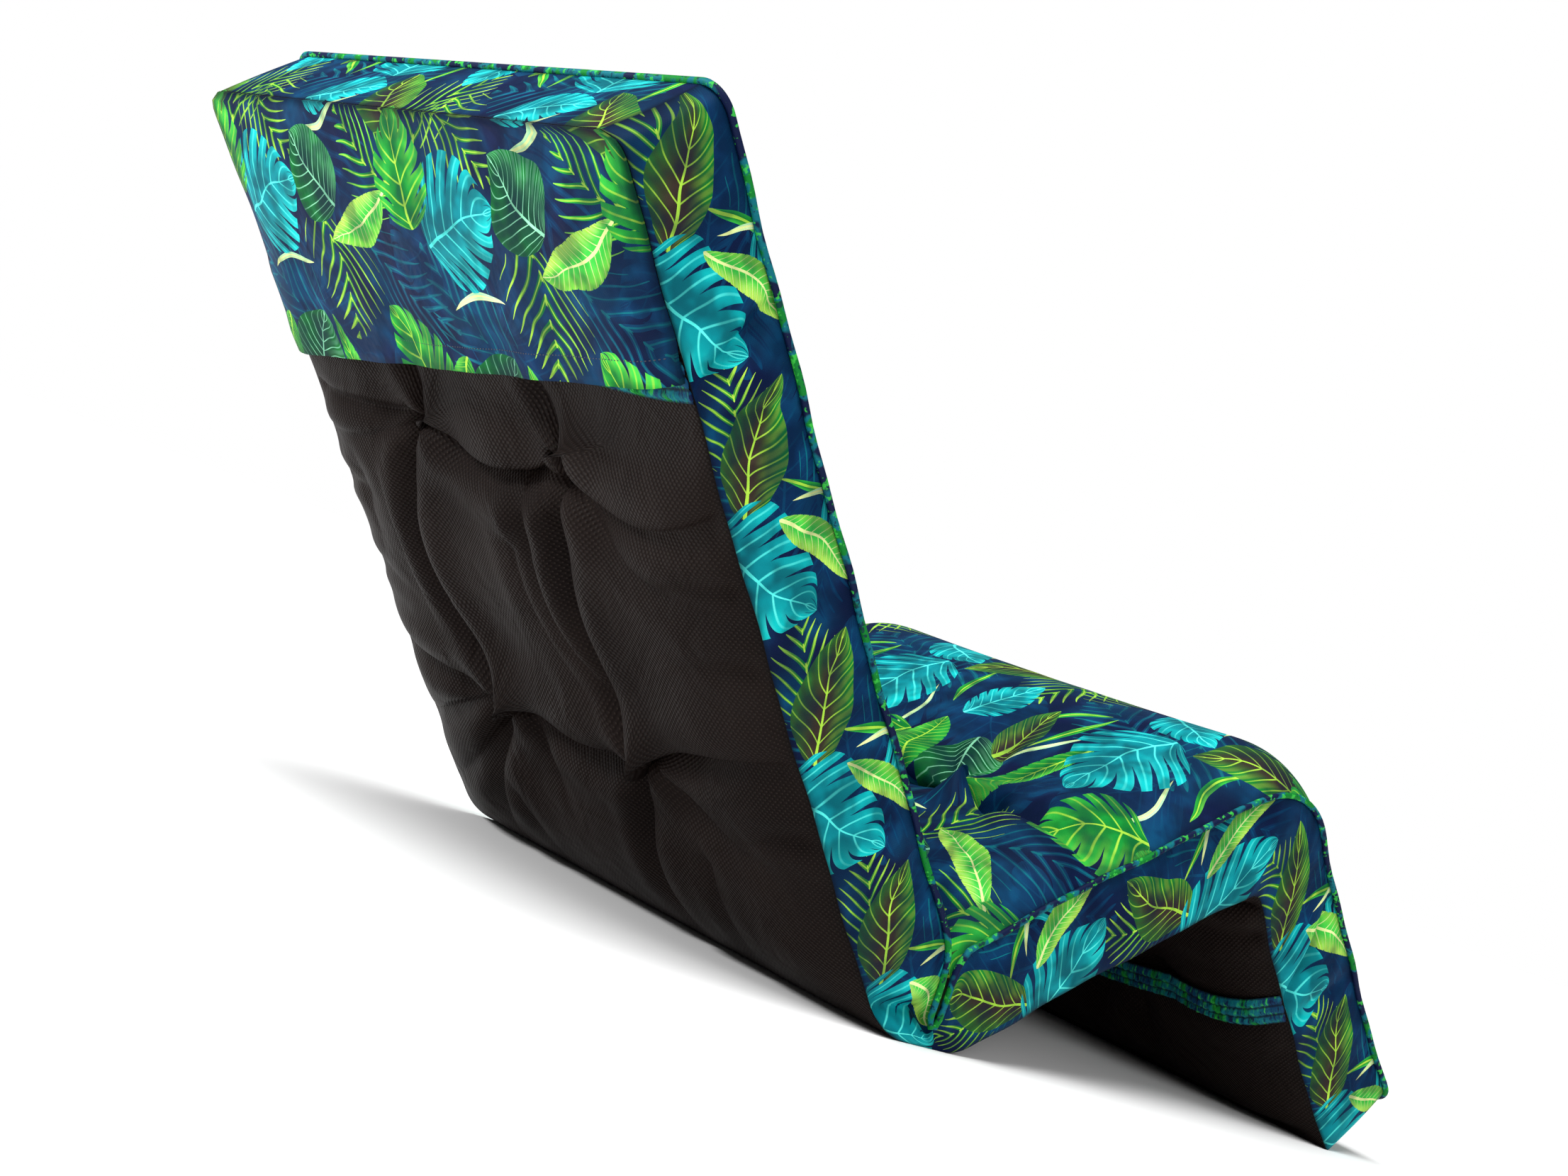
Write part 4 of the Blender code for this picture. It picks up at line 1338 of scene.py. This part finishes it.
def pipingCloth():
    # the same print wound round a cord shows as short patches of its inks
    material, tree, shader = clothMaterial("pipingCloth")
    place = tree.nodes.new("ShaderNodeTexCoord").outputs["Object"]
    patches = noiseNode(tree, place, 34.0, 2.0, 0.6)
    strokes = noiseNode(tree, place, 150.0, 2.0, 0.6)
    colour = mixNode(tree, rangeNode(tree, patches, 0.46, 0.50, 0.0, 1.0), ink["navy"], ink["teal"])
    colour = mixNode(tree, rangeNode(tree, patches, 0.54, 0.57, 0.0, 1.0), colour, ink["green"])
    colour = mixNode(tree, rangeNode(tree, strokes, 0.58, 0.63, 0.0, 0.8), colour, ink["bright"])
    colour = mixNode(tree, rangeNode(tree, strokes, 0.36, 0.40, 0.8, 0.0), colour, ink["navy"])
    finishCloth(tree, shader, colour, 0.58, 0.10)
    return material


def threadFinish():
    material, tree, shader = clothMaterial("darkThread")
    place = tree.nodes.new("ShaderNodeTexCoord").outputs["Object"]
    twist = noiseNode(tree, place, 900.0, 1.0)
    colour = mixNode(tree, twist, (0.004, 0.006, 0.020, 1.0), (0.014, 0.020, 0.050, 1.0))
    finishCloth(tree, shader, colour, 0.6, 0.5)
    return material


# The sewn pieces

def makeHood(material):
    mesh = latticeBlock(hood["cells"])
    cloth = mesh.loops.layers.uv.new("cloth")
    for face in mesh.faces:
        for loop in face.loops:
            spot = loop.vert.co
            loop[cloth].uv = (spot.x * pad["width"], -hoodDrop(2.0 * spot.x) * (spot.y + 0.5))
    # painted shade along the hood's side and top seams: how near each point is to them
    seams = []
    for vertex in mesh.verts:
        across = 2.0 * vertex.co.x
        inner = min(fromSides(across), (vertex.co.y + 0.5) * hoodDrop(across))
        seams.append(math.exp(-inner / hood["seamShade"]))
        layer = 1.0 if vertex.co.z < 0.0 else 0.0
        vertex.co = hoodPoint(across, hoodDrop(across) * (vertex.co.y + 0.5), layer)
    bmesh.ops.recalc_face_normals(mesh, faces=mesh.faces)
    piece = newPiece("hood", mesh, [material])
    storeSeamShade(piece.data, seams)
    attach(piece, "root")
    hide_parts("hood_panel")


def makeStitches(material):
    # one row of small thread beads above the hem
    mesh = bmesh.new()
    width = pad["width"] - hood["stitchInset"]
    count = int(width / hood["stitchPitch"])
    for number in range(count):
        across = (2.0 * (number + 0.5) / count - 1.0) * width / pad["width"]
        ends = []
        for step in (-0.5, 0.5):
            shifted = across + step * hood["stitchLength"] / (pad["width"] / 2)
            ends.append(hoodPoint(shifted, hoodDrop(shifted) - hood["stitchLine"], 1.0))
        middle = (ends[0] + ends[1]) / 2
        along = ends[1] - ends[0]
        turn = along.to_track_quat("X", "Z").to_matrix().to_4x4()
        size = Matrix.Diagonal((along.length / 2, hood["stitchRadius"], hood["stitchRadius"], 1.0))
        bmesh.ops.create_icosphere(mesh, subdivisions=1, radius=1.0,
                                   matrix=Matrix.Translation(middle) @ turn @ size)
    piece = newPiece("hoodStitches", mesh, [material])
    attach(piece, "root")


def makeStrap(name, material, stationOf):
    size = straps[name]
    draw = random.Random(len(name))
    phases = [draw.uniform(0.0, 6.28) for number in range(2 * straps["ridges"])]
    drift, driftTurn = straps["gatherDrift"]
    second, secondTurn = straps["secondGather"]
    mesh = latticeBlock(straps["cells"])
    cloth = mesh.loops.layers.uv.new("cloth")
    for face in mesh.faces:
        for loop in face.loops:
            spot = loop.vert.co
            loop[cloth].uv = (spot.y * straps["width"], spot.x * pad["width"] * straps["gathering"])
    for vertex in mesh.verts:
        across = 2.0 * vertex.co.x
        wide = vertex.co.y
        face = -1.0 if vertex.co.z > 0.0 else 1.0
        station = stationOf(strapMiddle(name, across) + straps["width"] * wide)
        x = across * (halfWidth(stationOf(size["place"]), 0.0) - straps["shortOfSeam"])
        # three ridges run along the strap, and each has gathers of its own
        half = size["thickness"] / 2 * (1.0 - straps["flatEdge"] * (2.0 * abs(wide)) ** 4)
        ridge = straps["ridge"] * math.cos(2.0 * math.pi * straps["ridges"] * wide)
        half += ridge * (1.0 if abs(wide) < straps["outer"] else straps["outerRidge"])
        run = x * 2.0 * math.pi / straps["pitch"]
        row = min(straps["ridges"] - 1, math.floor((wide + 0.5) * straps["ridges"]))
        start = phases[row + straps["ridges"]]
        fold = math.sin(run + drift * math.sin(x * driftTurn + phases[row]) + start)
        fold += second * math.sin(run * secondTurn + phases[row] * 2.0)
        half += straps["gather"] * fold * (1.0 - (2.0 * abs(wide)) ** 6 * 0.5)
        thin = thinned(across, straps["thinAtEdge"])
        half *= thin
        lift = strapLift(name, across, station)
        lift += size["thickness"] / 2 * thin + half * face
        point = profile.at(profile.rear, station) + profile.outward(profile.rear, station) * lift
        vertex.co = (x, point.x, point.y)
    bmesh.ops.recalc_face_normals(mesh, faces=mesh.faces)
    piece = newPiece(name.split("_")[0] + "Strap", mesh, [material])
    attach(piece, "root")
    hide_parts(name)


# The piping round the front edge

piping = {
    "radius": 0.0027,
    "standOut": 0.0014,        # how far its middle line is outside the seam
    "cornerSteps": 10,
    # between these places, at the fold, it lies in the seam and not over the edge
    "foldFrom": ("backEnd", 0.45),
    "foldTo": ("seatEnd", 0.65),
}


def seamPoint(side, station, turn, end):
    foldLow = profile.place(*piping["foldFrom"])
    foldHigh = profile.place(*piping["foldTo"])
    lift = 0.0 if foldLow < station < foldHigh else math.sqrt(0.5)
    spread = piping["standOut"] * math.sqrt(1.0 - lift * lift)
    outward = profile.outward(profile.front, station)
    along = Vector((outward.y, -outward.x))
    x = side * (halfWidth(station, 1.0) + spread * math.cos(turn))
    point = profile.at(profile.front, station) + outward * (piping["standOut"] * lift)
    point = point + along * (end * spread * math.sin(turn))
    return Vector((x, point.x, point.y))


def pipingSide(side):
    total = profile.length[-1]
    radius = pad["cornerRadius"]
    corners = {}
    for end in (-1, 1):
        corners[end] = []
        for step in range(1, piping["cornerSteps"] + 1):
            turn = math.pi / 2 * step / piping["cornerSteps"]
            where = radius * (1.0 - math.sin(turn))
            station = profile.stationAt(where if end < 0 else total - where)
            corners[end].append(seamPoint(side, station, turn, end))
    station = profile.stationAt(radius)
    last = profile.stationAt(total - radius)
    run = []
    while station < last:
        run.append(seamPoint(side, station, 0.0, 0))
        station += 1.0
    return corners[-1][::-1] + run + corners[1]


def makePiping(material):
    path = pipingSide(1) + pipingSide(-1)[::-1]
    curve = bpy.data.curves.new("pipingPath", "CURVE")
    curve.dimensions = "3D"
    curve.bevel_depth = piping["radius"]
    curve.bevel_resolution = 3
    spline = curve.splines.new("POLY")
    spline.points.add(len(path) - 1)
    for point, place in zip(spline.points, path):
        point.co = (*place, 1.0)
    spline.use_cyclic_u = True
    holder = bpy.data.objects.new("pipingPath", curve)
    bpy.context.scene.collection.objects.link(holder)
    data = bpy.data.meshes.new_from_object(holder.evaluated_get(bpy.context.evaluated_depsgraph_get()))
    bpy.data.objects.remove(holder)
    bpy.data.curves.remove(curve)
    data.name = "pipingEdge"
    data.materials.clear()
    data.materials.append(material)
    data.shade_smooth()
    piece = bpy.data.objects.new("pipingEdge", data)
    bpy.context.scene.collection.objects.link(piece)
    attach(piece, "root")
    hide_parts("piping")


# The studio: a pale floor under even daylight, a soft light on the rear face and one on the side

studio = {
    "world": 0.30,
    "backdrop": 1.0,
    "floor": 0.92,
    "sun": {"strength": 3.1, "from": (0.10, -0.42, 1.0), "angle": 40.0},
    "lights": (
        # name, place, aimed at, width, height, watts
        ("rearLight", (-0.8, -2.2, 1.35), (0.0, -0.2, 0.3), 0.6, 0.6, 50.0),
        ("sideLight", (2.3, -0.2, 1.3), (0.0, 0.1, 0.25), 1.2, 1.2, 18.0),
    ),
}


def aimedObject(name, data, place, aim):
    light = bpy.data.objects.new(name, data)
    light.location = place
    light.rotation_euler = (Vector(aim) - Vector(place)).to_track_quat("-Z", "Y").to_euler()
    bpy.context.scene.collection.objects.link(light)


def makeStudio():
    world = bpy.data.worlds.new("studio")
    bpy.context.scene.world = world
    world.use_nodes = True
    tree = world.node_tree
    background = tree.nodes["Background"]
    background.inputs["Color"].default_value = (1.0, 1.0, 1.0, 1.0)
    seen = tree.nodes.new("ShaderNodeLightPath").outputs["Is Camera Ray"]
    strength = rangeNode(tree, seen, 0.0, 1.0, studio["world"], studio["backdrop"])
    tree.links.new(strength, background.inputs["Strength"])
    mesh = bmesh.new()
    bmesh.ops.create_grid(mesh, x_segments=1, y_segments=1, size=60.0)
    material, tree, shader = clothMaterial("paleFloor")
    shader.inputs["Base Color"].default_value = (studio["floor"],) * 3 + (1.0,)
    shader.inputs["Roughness"].default_value = 0.9
    newPiece("studioFloor", mesh, [material])
    sun = bpy.data.lights.new("sunLight", "SUN")
    sun.energy = studio["sun"]["strength"]
    sun.angle = math.radians(studio["sun"]["angle"])
    aimedObject("sunLight", sun, studio["sun"]["from"], (0.0, 0.0, 0.0))
    for name, place, aim, width, height, watts in studio["lights"]:
        data = bpy.data.lights.new(name, "AREA")
        data.shape = "RECTANGLE"
        data.size = width
        data.size_y = height
        data.energy = watts
        aimedObject(name, data, place, aim)


bpy.context.scene.view_settings.view_transform = "Standard"
makeStudio()
print("studio ready")

facePrint = printedCloth("facePrint", wideTile, wideLeaves)
bandPrint = printedCloth("bandPrint", bandTile, bandLeaves)
ruched = ruchedCloth()
print("finishes ready")

cover, places = makePad([darkWeave(), facePrint, bandPrint, facePrint])
swellPad(cover, places)
refine(cover)
foldPad(cover)
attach(cover, "root")
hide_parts("cushion")
print("pad ready")

makeHood(facePrint)
makeStitches(threadFinish())
makeStrap("leg_strap", ruched, profile.legStation)
makeStrap("back_strap", ruched, profile.stationAt)
makePiping(pipingCloth())
print("hood, straps and piping ready")
